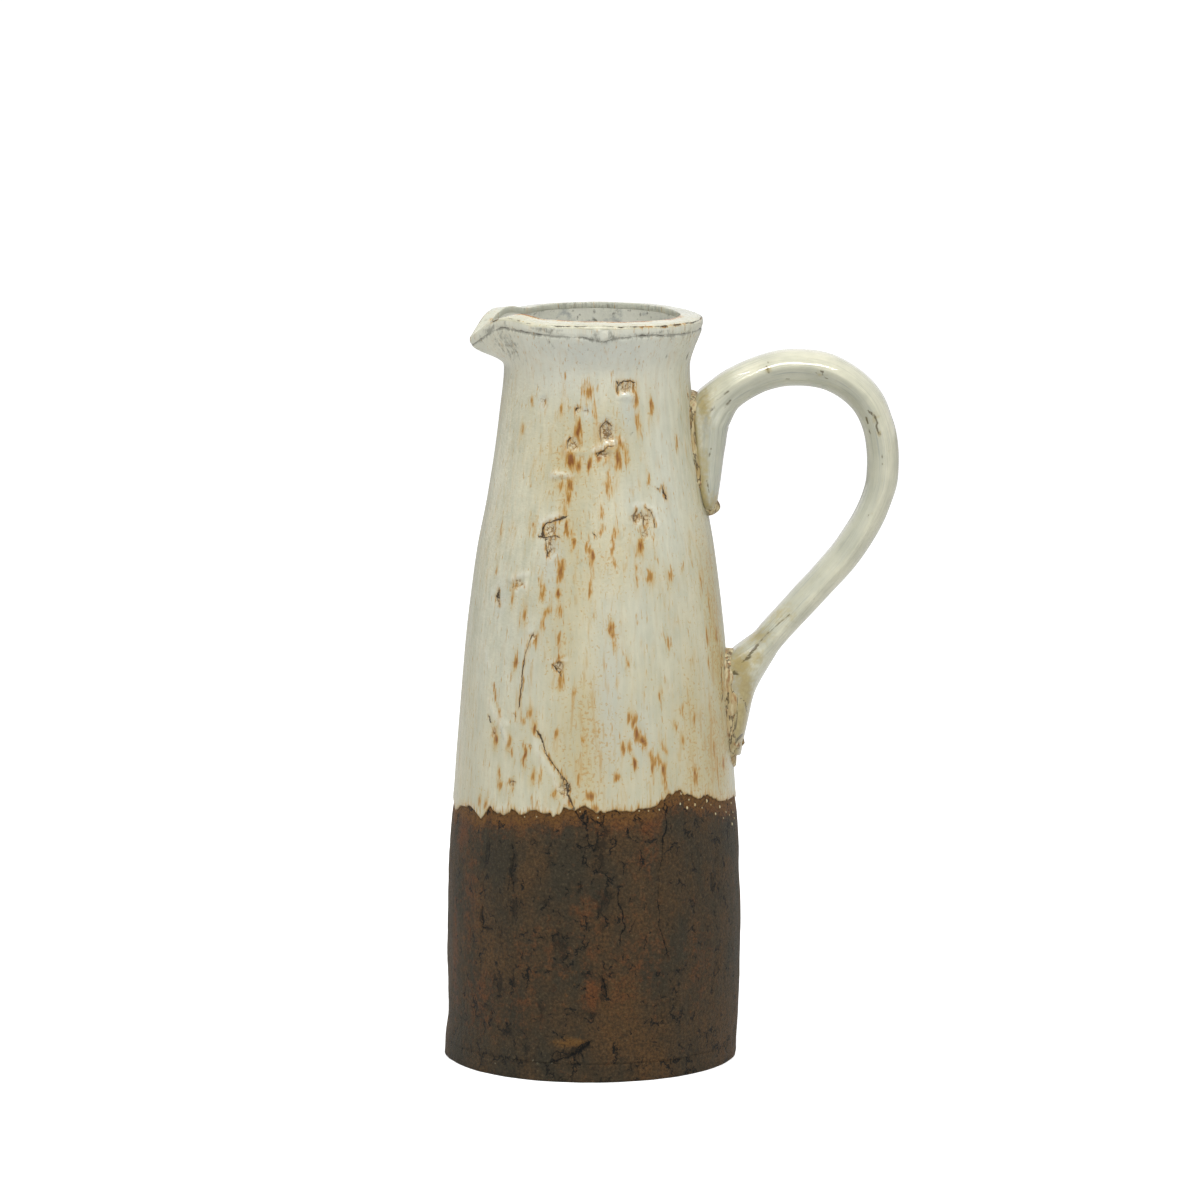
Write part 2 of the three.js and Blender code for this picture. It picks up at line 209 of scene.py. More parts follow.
# Marks on the glaze, in pixels of the photograph.
# Rust streaks: x, top, bottom, width, strength.
RUST_PX = [
    (532, 397, 407, 3, 0.7), (522, 425, 434, 3, 0.7), (561, 404, 418, 5, 0.6),
    (590, 387, 397, 8, 0.8), (588, 380, 399, 12, 0.45), (594, 401, 419, 5, 0.55),
    (578, 420, 437, 5, 1.2), (581, 431, 447, 3, 0.6), (599, 453, 462, 5, 1.1),
    (606, 453, 463, 4, 0.8), (617, 448, 468, 6, 1.0), (627, 448, 462, 4, 0.9),
    (621, 440, 449, 8, 0.8), (589, 456, 471, 4, 1.0), (579, 459, 472, 5, 0.8),
    (571, 455, 467, 7, 1.5), (570, 478, 492, 8, 0.8), (569, 491, 503, 4, 0.8),
    (565, 503, 520, 4, 0.8), (567, 519, 537, 3, 0.9), (573, 532, 550, 3, 0.9),
    (608, 473, 497, 5, 0.65), (560, 479, 491, 6, 0.5), (534, 519, 535, 4, 0.55),
    (529, 517, 533, 3, 0.5), (588, 541, 555, 3, 0.8), (591, 550, 563, 4, 1.1),
    (616, 530, 537, 6, 0.7), (613, 537, 566, 3, 0.7), (641, 541, 551, 6, 1.2),
    (648, 474, 483, 3, 0.6), (683, 560, 574, 2, 0.5), (636, 391, 407, 5, 0.8),
    (651, 397, 414, 4, 0.95), (638, 413, 434, 6, 0.6), (676, 437, 449, 3, 0.55),
    (636, 560, 590, 3, 0.6), (561, 563, 581, 7, 0.95), (541, 575, 590, 3, 0.7),
    (590, 578, 593, 3, 0.7), (543, 589, 597, 6, 1.0), (558, 590, 598, 5, 1.0),
    (649, 572, 583, 10, 0.6), (669, 572, 582, 8, 0.6), (512, 590, 602, 3, 0.7),
    (525, 603, 623, 4, 0.7), (559, 597, 617, 4, 0.7), (590, 585, 598, 4, 0.7),
    (548, 607, 618, 5, 0.8), (543, 616, 628, 4, 0.8), (536, 637, 645, 4, 0.9),
    (515, 655, 668, 4, 1.1), (560, 636, 646, 6, 0.6), (561, 672, 688, 5, 1.1),
    (611, 624, 632, 4, 1.2), (613, 632, 642, 3, 0.8), (614, 641, 648, 4, 1.0),
    (626, 658, 671, 3, 0.6), (618, 680, 688, 3, 0.55), (668, 638, 650, 4, 0.6),
    (661, 690, 701, 4, 0.55), (683, 705, 718, 3, 0.7), (675, 721, 731, 3, 0.75),
    (683, 737, 745, 4, 1.0), (695, 712, 721, 3, 0.6), (629, 713, 722, 4, 0.9),
    (634, 716, 727, 4, 1.0), (638, 729, 740, 6, 1.1), (643, 738, 747, 5, 1.3),
    (623, 745, 753, 5, 0.9), (630, 744, 752, 3, 1.0), (634, 757, 768, 4, 1.1),
    (653, 751, 776, 4, 0.9), (658, 756, 764, 4, 1.0), (663, 764, 775, 4, 1.0),
    (666, 773, 798, 3, 0.9), (617, 774, 780, 5, 1.1), (695, 769, 783, 4, 1.2),
    (664, 746, 754, 3, 0.8), (679, 753, 761, 3, 0.6), (707, 624, 646, 6, 0.8),
    (716, 625, 640, 8, 0.7), (709, 590, 620, 5, 0.5), (709, 655, 668, 3, 0.9),
    (709, 690, 720, 3, 0.6), (723, 759, 768, 5, 1.0), (714, 740, 756, 3, 0.7),
    (717, 764, 784, 3, 0.8), (534, 724, 732, 5, 1.1), (496, 735, 743, 4, 1.2),
    (494, 729, 734, 6, 0.9), (509, 739, 748, 4, 1.0), (512, 748, 758, 3, 0.7),
    (525, 745, 764, 4, 1.1), (532, 772, 780, 4, 1.1), (541, 773, 782, 3, 0.6),
    (499, 769, 779, 3, 0.8), (500, 783, 789, 4, 0.9), (513, 779, 790, 4, 0.7),
    (479, 796, 804, 5, 0.8), (485, 801, 807, 4, 0.8), (580, 774, 783, 4, 0.8),
    (590, 793, 799, 7, 0.9), (596, 806, 813, 5, 1.0), (571, 799, 810, 6, 1.0),
    (556, 792, 797, 6, 0.8), (530, 710, 716, 5, 0.7), (524, 718, 724, 5, 0.7),
    (561, 637, 650, 5, 0.5), (575, 690, 700, 4, 0.6), (583, 735, 745, 3, 0.7),
    (558, 731, 736, 4, 0.8), (560, 655, 662, 6, 0.5), (520, 612, 624, 3, 0.5),
    (501, 520, 540, 3, 0.35), (497, 560, 575, 2, 0.4), (600, 505, 520, 4, 0.4),
    (655, 540, 560, 4, 0.4), (690, 540, 570, 3, 0.4), (700, 560, 600, 4, 0.4),
]
# Ochre tints: x, y, half width, half height, strength.
OCHRE_PX = [
    (588, 745, 42, 85, 1.2), (600, 660, 30, 60, 0.5), (560, 640, 26, 70, 0.9),
    (575, 590, 36, 55, 0.7), (716, 640, 24, 110, 1.5), (700, 778, 26, 26, 1.1),
    (715, 750, 34, 60, 1.8), (694, 720, 26, 90, 1.0), (575, 460, 36, 70, 0.95),
    (606, 440, 26, 36, 1.2), (556, 768, 14, 28, 0.8), (560, 420, 60, 60, 0.35),
    (572, 535, 26, 60, 0.95), (480, 770, 25, 60, 0.2), (690, 345, 14, 60, 0.3),
    (600, 560, 46, 50, 0.75), (660, 775, 40, 34, 0.6), (600, 740, 170, 80, 0.3),
    (700, 620, 16, 80, 0.4),
]
# Cool bluish tints, in the same way.
COOL_PX = [
    (600, 352, 90, 22, 0.9), (560, 380, 40, 30, 0.5), (490, 335, 26, 20, 0.8),
    (628, 410, 10, 25, 0.8), (607, 427, 9, 12, 0.8), (550, 560, 14, 40, 0.6),
    (610, 690, 16, 90, 0.7), (520, 650, 40, 50, 0.4), (500, 600, 14, 30, 0.5),
    (640, 600, 18, 50, 0.4), (587, 413, 5, 7, 0.9), (543, 402, 6, 9, 0.9),
    (664, 470, 26, 120, 0.45), (632, 500, 14, 30, 0.4), (642, 735, 14, 40, 0.5),
    (480, 690, 16, 90, 0.3),
]
# Pits, and bumps where the depth is below 0: x, y, half width, half height, depth in tenths of a
# millimetre.
PITS_PX = [
    (625, 388.5, 8.5, 5, 5), (607.5, 432, 7.5, 10.5, 9), (578, 411.5, 3.5, 4, 6),
    (574, 444, 5, 7, 6), (587, 413, 3, 4, 5), (543.5, 402, 4, 5.5, 5),
    (551, 530.5, 6.5, 7, 7), (550, 548, 5, 9.5, 6), (636.7, 519, 4.5, 6, 8),
    (645, 519, 8, 8, 5), (644, 533, 5, 5, 5), (497.5, 598, 3.5, 6, 9),
    (519, 582, 6, 4.5, 5), (558.5, 668, 5.5, 5, 8), (533, 636, 4, 4, 6),
    (512.9, 785, 4, 5, 6), (566, 790, 6, 7, 7), (603, 455, 7, 3.5, 7),
    (612, 448, 9, 6, -6), (560, 475, 8, 3, -7), (625, 396.5, 8, 2.5, -4),
    (646, 512, 10, 4, -4), (551, 517, 9, 2.5, -4), (578, 451, 7, 4, -5),
    (493, 733, 5, 5, 5), (505, 726, 9, 4, -3), (560, 797, 8, 4, -4),
    (511, 578, 10, 3, -3), (688, 391, 2.5, 5, 6),
]
# Dark cracks and outlines: width in tenths of a millimetre, strength, places. The arcs along the
# upper lips of pits are painted shadow.
CRACKS_PX = [
    (8, 1.3, (617.6, 381.7), (624, 382.4), (634.2, 382.8)),
    (6, 0.7, (617.3, 383), (616.8, 392)), (6, 0.6, (633.8, 384), (633.4, 392)),
    (6, 0.9, (601, 427), (603, 424), (607, 422.8), (611, 424.6)),
    (6, 0.6, (600.5, 430), (600.8, 441)), (7, 0.8, (596, 453), (603, 450), (612, 446.5)),
    (8, 1.2, (597.5, 455), (600, 452.5), (604.5, 451)),
    (6, 0.8, (567.8, 448), (568, 441), (571, 438)), (6, 0.7, (575.5, 413), (576.5, 409.5), (580, 408.5)),
    (6, 1.3, (543.6, 536), (543.4, 528), (546, 524), (553, 521), (561, 520), (565.4, 516.7)),
    (8, 1.5, (539.7, 537), (548, 537.8), (558.8, 538.8)),
    (7, 0.9, (544.5, 540), (545.5, 548), (547.5, 556)), (6, 0.6, (551, 541), (551, 551)),
    (6, 0.8, (644, 507.5), (650, 512), (653, 518), (654.5, 526)),
    (6, 0.6, (636, 510), (633.5, 516), (635, 524)), (6, 0.7, (641, 514), (645, 518), (643, 527)),
    (7, 1.1, (662.6, 488.5), (664, 493), (665.6, 497)), (5, 0.8, (656.5, 488), (658, 490)),
    (6, 0.9, (592.8, 534), (595.3, 537.4)), (4, 0.35, (602.5, 524), (604.5, 527), (602.7, 531)),
    (9, 1.4, (498.5, 591), (495.3, 596.6), (499, 600.3), (499.6, 605)),
    (5, 0.6, (512, 588.3), (518, 586), (524, 583.7)), (6, 0.9, (687, 388), (688.5, 396)),
    (4, 0.8, (532.3, 632.7), (531.4, 639.2), (526.8, 648.4), (523.6, 659.5)),
    (4, 1.1, (523.6, 659.5), (522.5, 672.5), (523, 687.3), (521.2, 698.4), (519.9, 707.6)),
    (7, 1.1, (515.4, 715), (516, 718)), (6, 0.9, (553, 665), (556, 671), (560, 675)),
    (5, 0.7, (553, 664), (558, 663), (564, 664.5), (562, 671), (561, 676)),
    (7, 1.0, (537, 730), (539.7, 733.5), (542.5, 741), (546.2, 752), (550.8, 763), (557.3, 770.5)),
    (7, 0.9, (557.3, 770.5), (562.8, 777.9), (565.6, 785.3), (570.2, 796.4), (573, 808)),
    (6, 0.7, (560, 787), (566, 784), (571, 790), (568, 797)),
    (7, 1.0, (488.8, 716), (491, 723.3)), (4, 0.35, (493, 683), (496, 700), (500, 716)),
    (5, 0.8, (509.7, 784), (512, 779.5), (515, 782)), (4, 0.5, (530, 744.5), (531.5, 747)),
    (5, 0.8, (722, 654), (721.6, 680), (722.5, 700)),
]
# Small dark dots: x, y.
DOTS_PX = [
    (637.5, 369), (512.3, 377.4), (519.8, 452), (511.5, 511), (491.6, 526.7), (496, 560.7),
    (509, 404.8), (538, 387.4), (632.6, 433), (631, 436.3), (628.4, 421.4), (683.2, 555),
    (510.5, 377.5), (580, 364), (588, 351.6), (666.8, 358.8), (669, 356.5), (687.3, 356),
    (526, 362), (549, 345), (671, 369), (530.8, 746), (682, 695), (722, 700),
]
# Raised edges beside the cracks, pale partly as painted highlight: width in tenths of a millimetre,
# strength, places.
CRESTS_PX = [
    (10, 0.7, (533, 734), (538, 750), (545, 764), (554, 775), (559, 790)),
    (13, 1.0, (594, 449), (604, 446), (613, 443), (622, 440)),
    (11, 0.9, (552, 476), (561, 473), (569, 477)), (10, 0.8, (513, 578), (522, 574), (528, 573)),
    (10, 0.8, (517, 592), (524, 587), (527, 582)), (12, 0.9, (541, 523), (549, 518.5), (561, 516.5)),
    (10, 0.8, (634, 506), (645, 504), (656, 512), (658, 524)), (10, 0.8, (617, 395.5), (634, 396)),
    (11, 0.8, (490, 702), (495, 715), (503, 728), (507, 741)), (9, 0.7, (498, 712), (507, 722)),
    (9, 0.7, (486, 652), (489, 668)), (10, 0.8, (570, 792), (566, 803)), (9, 0.6, (529, 628), (534, 640)),
    (9, 0.7, (566, 440), (566, 452), (572, 456)), (9, 0.6, (493, 590), (491, 602)),
    (9, 0.6, (546, 556), (551, 560), (556, 556)), (9, 0.6, (551, 660), (566, 660)),
    (10, 0.6, (461, 806), (470, 804), (478, 812)), (10, 0.6, (486, 803), (498, 809), (506, 808)),
    (10, 0.6, (520, 809), (536, 807), (550, 811)),
]
# Grey smudges that the brush left in the glaze: x, y, half width, half height, strength.
SMUDGE_PX = [
    (511, 348, 18, 20, 0.55), (500, 329, 12, 4, 0.8), (500, 362, 6, 10, 0.4), (550, 345, 5, 7, 0.45),
    (545, 334, 22, 3, 0.7), (593, 341, 9, 4, 0.7), (575, 337, 14, 3, 0.3), (640, 338, 26, 4, 0.5),
    (612, 338, 6, 5, 0.8), (688, 336, 10, 12, 0.5), (597, 330, 10, 4, 0.4), (668, 358, 4, 4, 0.5),
    (687, 357, 2.5, 5, 0.9), (504, 372, 4, 12, 0.35), (560, 352, 30, 14, 0.2), (662, 334, 16, 3, 0.6),
    (497, 596, 5, 14, 0.4), (522, 690, 4, 26, 0.3), (502, 735, 8, 14, 0.3), (609, 432, 10, 12, 0.55),
    (462, 808, 12, 4, 0.5), (500, 812, 16, 3, 0.4), (560, 812, 24, 3, 0.4),
]
# Lower edge of the glaze round the front, from left to right.
GLAZE_EDGE_PX = [
    (452.8, 803), (456, 811), (459, 807), (467, 806), (473, 810), (477, 814.5), (481, 819),
    (484, 813.5), (486, 810), (491, 806), (493, 810), (500, 814.5), (510, 814.5), (511, 810),
    (518, 813.5), (525, 813.5), (531, 811), (536, 811), (544, 815), (551, 815.5), (553, 820.6),
    (554.5, 816.5), (561, 814), (563, 810), (573, 810), (585, 808), (593, 811), (597, 815.5),
    (600, 811.5), (635, 811.6), (646, 808.4), (658, 805), (661, 801), (667.5, 796), (678, 792),
    (680, 790.5), (685, 794), (692, 795), (699, 799.7), (707, 796), (712, 797), (723, 801.7),
    (734, 796),
]
# Drops of glaze below that edge: x, y, height in tenths of a millimetre.
DROPS_PX = [
    (682, 794, 11), (681, 804, 14), (680, 807, 9), (672, 807, 12), (688, 808, 15), (696, 805, 14),
    (708, 801, 16), (721, 807, 14), (716.5, 814, 13), (732, 803, 12), (732, 824, 14),
    (660, 810, 9), (649, 811, 9), (639.5, 811, 9), (727, 812, 9), (730, 815, 8), (733, 812, 9),
    (677, 799, 8), (690, 800, 9), (703, 808, 8), (598, 818, 8), (524, 817, 7), (536, 817, 7),
    (724, 818, 8), (700, 797, 9), (734, 818, 9), (712, 805, 7), (668, 803, 8), (580, 812, 7),
]
# Marks on the bare clay. Orange patches: x, y, half width, half height, strength.
ORANGE_PX = [
    (621, 820, 13, 8, 1.0), (650, 825, 9, 14, 1.0), (591, 994, 6, 15, 1.2), (463, 830, 14, 20, 0.8),
    (470, 900, 16, 60, 0.45), (500, 825, 26, 8, 0.5), (560, 822, 40, 7, 0.4), (480, 1000, 26, 30, 0.5),
    (640, 960, 30, 50, 0.35), (540, 960, 36, 40, 0.3), (590, 920, 22, 30, 0.35), (700, 960, 22, 50, 0.3),
    (455, 950, 8, 60, 0.6), (620, 990, 34, 26, 0.35), (520, 1010, 30, 26, 0.3), (645, 860, 14, 18, 0.5),
    (535, 1000, 20, 30, 0.3), (590, 955, 9, 14, 0.55),
]
# Ochre patches, in the same way.
OCHRE_CLAY_PX = [(570, 1043, 17, 5.5, 1.3), (462, 942, 9, 26, 0.5), (574, 988, 16, 24, 0.35)]
# Smoke stains, in the same way.
STAINS_PX = [
    (487, 853, 4, 9, 1.0), (513, 872, 4, 15, 1.3), (514, 905, 4, 14, 0.9), (482, 918, 4, 14, 0.8),
    (488, 928, 9, 3, 0.8), (499, 983, 6, 9, 0.9), (513, 980, 3, 24, 0.7), (560, 945, 8, 16, 1.0),
    (604, 988, 3, 11, 1.3), (579.5, 887, 2, 5, 1.5), (600, 846, 9, 26, 0.9), (603, 900, 8, 18, 0.9),
    (712, 880, 2, 9, 1.4), (585, 1047, 7, 3, 1.5), (570, 1056, 13, 3, 1.1), (506, 1030, 10, 5, 0.8),
    (592, 1015, 8, 3, 1.2), (575, 1052, 5, 4, 1.4), (545, 905, 4, 5, 0.7), (716, 865, 4, 22, 0.7),
    (716, 963, 3, 8, 0.8), (540, 1012, 4, 10, 0.8), (500, 935, 3, 9, 0.7), (527, 1045, 4, 12, 0.7),
    (484, 885, 3, 20, 0.5), (551, 860, 3, 10, 0.4), (590, 928, 3, 6, 0.7), (605, 925, 3, 12, 0.8),
    (700, 1060, 12, 6, 0.9), (670, 1012, 8, 10, 0.5), (588, 975, 6, 3, 1.0),
]
# Cracks: width in tenths of a millimetre, strength, places.
CLAY_CRACKS_PX = [
    (6, 1.2, (667.4, 808), (666.4, 825.6), (663.4, 841.4)),
    (4, 0.7, (663.4, 841.4), (659.5, 873), (659, 900.7)),
    (5, 1.0, (659, 900.7), (660.4, 918.5), (659.8, 928.4), (664.4, 940.3), (667.4, 958)),
    (5, 1.0, (617.9, 891), (619.5, 900), (622.9, 912.6), (623.9, 928.4), (622, 945)),
    (7, 1.1, (573, 808), (579, 818), (587, 829)), (7, 1.0, (603, 976), (606, 995)),
    (9, 1.2, (590, 1043), (580, 1050), (570, 1057), (553, 1061)), (5, 0.7, (512, 845), (513, 890)),
    (5, 0.6, (640, 815), (643, 830), (650, 838)), (5, 0.7, (601, 812), (602, 830)),
    (5, 0.6, (551, 861), (546, 873)), (6, 0.8, (481.5, 905), (483, 925), (492, 929)),
]
# Pale chips at the foot: x, y, rough height in pixels.
CHIPS_PX = [
    (564, 1017, 3), (498, 1063, 3), (534, 1060, 5), (669, 1008, 3), (540, 1062, 5), (552, 1063, 4),
    (525, 1058, 3), (508, 1028, 4), (507, 1031, 3), (645, 853, 3), (640, 862, 4), (702, 1071, 3),
]
# The line along the top of the base slab.
SLAB_LINE_PX = [(525, 1061), (545, 1063.5), (565, 1063), (590, 1062), (620, 1061)]
# Marks on the strap, in the same ways. Cracks and scars.
HANDLE_CRACKS_PX = [
    (9, 1.1, (766.5, 366), (768, 369), (769, 372)), (6, 0.8, (768, 362), (768, 363.5)),
    (7, 1.3, (816.5, 375), (816.5, 372), (823, 371.5), (823, 376)), (6, 1.0, (825, 378), (828, 379)),
    (8, 1.35, (868, 411), (872, 414), (876, 418), (877.5, 422), (876, 427), (878, 431), (880, 435)),
    (7, 1.2, (866, 417), (868, 424)), (6, 0.9, (869, 430), (871, 435)),
    (6, 1.0, (882, 455), (882, 459)), (6, 1.0, (882, 462), (882, 465)),
    (7, 0.8, (868.5, 515), (868, 519)), (6, 0.7, (865, 524), (867, 526)),
    (9, 1.1, (711, 411), (716, 403)), (7, 1.0, (718, 399), (728, 391)),
    (9, 1.1, (724, 408), (731, 400)),
    (6, 0.9, (786, 379), (790, 379)), (5, 0.8, (751, 381), (754, 380)),
    (8, 0.8, (711, 448), (709, 458)), (7, 0.9, (707, 480), (709, 492)),
    (6, 0.8, (806, 592), (804, 596)), (5, 0.7, (804, 607), (808, 610)), (5, 0.6, (812, 603), (818, 592)),
    (9, 1.7, (733, 674), (745, 661), (758, 644)), (7, 0.9, (758, 644), (768, 633), (790, 614)),
    (7, 1.1, (740, 697), (745, 702), (747, 712)), (7, 1.1, (737, 697), (737, 718), (735, 730)),
    (9, 1.7, (733, 734), (736, 741), (742, 735)), (6, 0.8, (731, 722), (731, 728)),
]
# Ochre patches.
HANDLE_TAN_PX = [
    (768, 369, 2.5, 3.5, 0.8), (819, 374, 4, 3.5, 0.35), (875, 418, 4, 6, 0.35), (879, 433, 2, 4, 0.7),
    (704, 405, 8, 18, 0.7), (719, 503, 9, 9, 1.0), (704, 470, 4, 30, 0.6), (740, 665, 14, 16, 0.8),
    (757, 635, 16, 10, 0.55), (778, 614, 20, 10, 0.35), (745, 690, 9, 30, 0.85), (741, 725, 8, 30, 1.1),
    (738, 745, 9, 14, 1.2), (757, 657, 7, 8, 0.6),
]

# Light from all round, as a share of the white background
SOFT_LIGHT = 0.47

# A line's nearness reaches this far past its width, and its distance is counted up to this
LINE_HALO = 0.7
FAR_OFF = 8.0

# How finely the surfaces are divided
FRONT_ARC = math.radians(200)
FRONT_COLUMNS = 270
BACK_COLUMNS = 110
HIDDEN_COLUMNS = 160
BARE_ROWS = 128
HIDDEN_ROWS = 46
PATH_STEPS = 1500
STRAP_STEPS = 300
STRAP_SIDES = 96
CORE_STEPS = 90
CORE_SIDES = 40
PAD_COLUMNS = 200
DROP_RINGS = 4
DROP_SIDES = 10

# The fields that a surface of each kind carries for its material
GLAZE_MARKS = ("line", "side", "rust", "ochre", "cool", "pit", "smudge", "white")
CLAY_MARKS = ("line", "side", "stain", "chip", "orange", "ochre")
STRAP_MARKS = ("along", "across", "under", "tan", "line")


def wrapped(angle):
    """The same angle between minus and plus half a turn."""
    return np.arctan2(np.sin(angle), np.cos(angle))


def eased(low, high, value):
    """0 below low, 1 above high, and in between three times the square less twice the cube."""
    share = np.clip((value - low) / (high - low), 0, 1)
    return share * share * (3 - 2 * share)


def powered(value, power):
    """The size of a value to a power, with the value's sign."""
    return np.sign(value) * np.abs(value) ** power


def from_line(along, up, run, rise):
    """Distance from a straight piece that starts at the origin and goes run along and rise up."""
    share = np.clip((along * run + up * rise) / (run ** 2 + rise ** 2), 0, 1)
    return np.hypot(along - share * run, up - share * rise)


def interpolated(places, values, at):
    """Cubic pieces through the points. The slope at a point is the mean of the slopes of the
    lines to its two neighbours, and zero at both ends."""
    secants = np.diff(values, axis=0).T / np.diff(places)
    slopes = np.zeros_like(np.asarray(values, float))
    slopes[1:-1] = ((secants[..., 1:] + secants[..., :-1]) / 2).T
    piece = np.clip(np.searchsorted(places, at) - 1, 0, len(places) - 2)
    length = places[piece + 1] - places[piece]
    share = (at - places[piece]) / length
    if np.ndim(values) > 1:
        share, length = share[..., None], length[..., None]
    square, cube = share ** 2, share ** 3
    return (
        values[piece] * (2 * cube - 3 * square + 1)
        + values[piece + 1] * (3 * square - 2 * cube)
        + slopes[piece] * length * (cube - 2 * square + share)
        + slopes[piece + 1] * length * (cube - square)
    )


OUTLINE_HEIGHTS = np.concatenate([
    [0, BELLY_HEIGHT],
    BELLY_HEIGHT + SHOULDER_SHARES[:, 0] * (NECK_HEIGHT - BELLY_HEIGHT),
    [NECK_HEIGHT],
    NECK_HEIGHT + FLARE_SHARES[:, 0] * (RIM_EDGE_HEIGHT - NECK_HEIGHT),
    [RIM_EDGE_HEIGHT],
])
OUTLINE_RADII = np.concatenate([
    [FOOT_RADIUS, BELLY_RADIUS],
    NECK_RADIUS + SHOULDER_SHARES[:, 1] * (BELLY_RADIUS - NECK_RADIUS),
    [NECK_RADIUS],
    NECK_RADIUS + FLARE_SHARES[:, 1] * (RIM_RADIUS - NECK_RADIUS),
    [RIM_RADIUS],
])


def outer_radius(z):
    """Radius over the glaze at a height: the smooth outline."""
    return interpolated(OUTLINE_HEIGHTS, OUTLINE_RADII, np.clip(z, 0, RIM_EDGE_HEIGHT))


def clay_radius(z):
    """Radius of the collar's and wall's clay: under the glaze, and above the neck within the band."""
    under = outer_radius(z) - SKIN
    return np.where(z < NECK_HEIGHT, under, np.minimum(under, LIP_RADIUS))


def rim_top(radius):
    """Height of the rim's top, which falls evenly from the mouth to the outer edge."""
    return JUG_HEIGHT - RIM_SLOPE * (radius - MOUTH_RADIUS) / (RIM_RADIUS - MOUTH_RADIUS)


def axis_at(z):
    """Sideways place of the body's axis, which leans evenly towards the handle."""
    return SLAB_OFFSET + BODY_LEAN * z / JUG_HEIGHT


def upright_round(azimuth, radius, z):
    """Points of an upright round form: the radius along the azimuth's direction, and the height."""
    x, y = np.cos(azimuth) * radius, np.sin(azimuth) * radius
    return np.stack(np.broadcast_arrays(x, y, z), axis=-1)


def shaped(azimuth, radius, z):
    """Points of the hand-shaped body: the radius grows by the spout's pull, and by some more inside,
    where the spout thins the lip. The height changes by its notch and shoulders and by what the rim
    rises at that azimuth, and the axis leans."""
    aside = np.minimum(np.abs(wrapped(azimuth - SPOUT_AZIMUTH)) / SPOUT_HALF_ANGLE, 1)
    lift = eased(SPOUT_FOOT, RIM_EDGE_HEIGHT, z)
    pull = (1 - aside) ** PULL_SHARPNESS
    notch = (1 - aside) ** NOTCH_SHARPNESS
    shoulder = np.sin(math.pi * aside) ** 2
    uneven = np.interp(np.degrees(wrapped(azimuth)), *RIM_RISES.T)
    inward = np.clip((RIM_RADIUS - radius) / (RIM_RADIUS - MOUTH_RADIUS), 0, 1)
    beak = lift ** BEAK_SHARPNESS
    reach = radius + beak * (SPOUT_REACH * pull + LIP_THINNING * inward * pull ** 0.5)
    height = z + lift * (SHOULDER_RISE * shoulder - SPOUT_DROP * notch + uneven)
    x = reach * np.cos(azimuth) + axis_at(z)
    y = reach * np.sin(azimuth)
    return np.stack(np.broadcast_arrays(x, y, height), axis=-1)


def on_body(x_pixel, y_pixel):
    """Azimuth and height of the front of the body at a pixel: the ray's depth, the radius at its
    height and the height itself are found in turn until they settle."""
    x_pixel, y_pixel = np.asarray(x_pixel, float), np.asarray(y_pixel, float)
    z = np.full(np.broadcast(x_pixel, y_pixel).shape, JUG_HEIGHT / 2)
    y = np.full(z.shape, -NECK_RADIUS)
    for _ in range(RAY_TURNS):
        depth = ((y + CAMERA_DISTANCE) * math.cos(CAMERA_PITCH)
                 - (z - CAMERA_HEIGHT) * math.sin(CAMERA_PITCH))
        x = (x_pixel - IMAGE_SIZE / 2) * depth / FOCAL_PIXELS + CAMERA_SIDE
        radius = outer_radius(z)
        azimuth = -np.arccos(np.clip((x - axis_at(z)) / radius, -1, 1))
        y = radius * np.sin(azimuth)
        up = (IMAGE_SIZE / 2 - y_pixel) * depth / FOCAL_PIXELS
        fall = (y + CAMERA_DISTANCE) * math.sin(CAMERA_PITCH)
        z = CAMERA_HEIGHT + (up - fall) / math.cos(CAMERA_PITCH)
    return azimuth, z


HASH_STEPS = np.array([374761393, 668265263, 1442695041, 2246822519], dtype=np.uint64)
HASH_MIX = np.uint64(1274126177)
HASH_MASK = np.uint64(0xFFFFFFFF)


def noise(points, size, seed=0, octaves=1):
    """Smooth noise from -1 to 1: pseudo-random values at the corners of a grid of the given size,
    blended with an eased share, and added again at half the size and half the height."""
    total = 0
    for octave in range(octaves):
        scaled = points / (size / 2 ** octave)
        cell = np.floor(scaled).astype(np.int64)
        share = scaled - cell
        share = share * share * (3 - 2 * share)
        blend = 0
        for corner in range(8):
            step = np.array([corner & 1, corner >> 1 & 1, corner >> 2])
            key = (cell + step).astype(np.uint64) * HASH_STEPS[:3]
            mixed = key[..., 0] ^ key[..., 1] ^ key[..., 2]
            mixed = (mixed + np.uint64(seed * 97 + octave + 1) * HASH_STEPS[3]) & HASH_MASK
            mixed = ((mixed ^ (mixed >> np.uint64(15))) * HASH_MIX) & HASH_MASK
            mixed = ((mixed ^ (mixed >> np.uint64(13))) * HASH_MIX) & HASH_MASK
            value = (mixed ^ (mixed >> np.uint64(16))).astype(float) / float(HASH_MASK)
            weight = np.prod(np.where(step, share, 1 - share), axis=-1)
            blend = blend + weight * value
        total = total + (2 * blend - 1) / 2 ** octave
    return total


def offset_from(azimuth, z, x_pixel, y_pixel):
    """Millimetres round and up the wall from the place that a pixel shows."""
    mark_azimuth, mark_z = on_body(x_pixel, y_pixel)
    return wrapped(azimuth - mark_azimuth) * outer_radius(mark_z), z - mark_z


def spots(azimuth, z, rows, softness=1.0):
    """For ellipses on the wall: strength times a bell curve of the distance in half axes, the
    greatest of all, where softness widens the bell."""
    field = np.zeros(np.broadcast(azimuth, z).shape)
    for spot_azimuth, spot_z, half_width, half_height, strength in rows:
        along = wrapped(azimuth - spot_azimuth) * outer_radius(spot_z)
        reach = (along / half_width) ** 2 + ((z - spot_z) / half_height) ** 2
        field = np.maximum(field, strength * np.exp(-reach / softness))
    return field


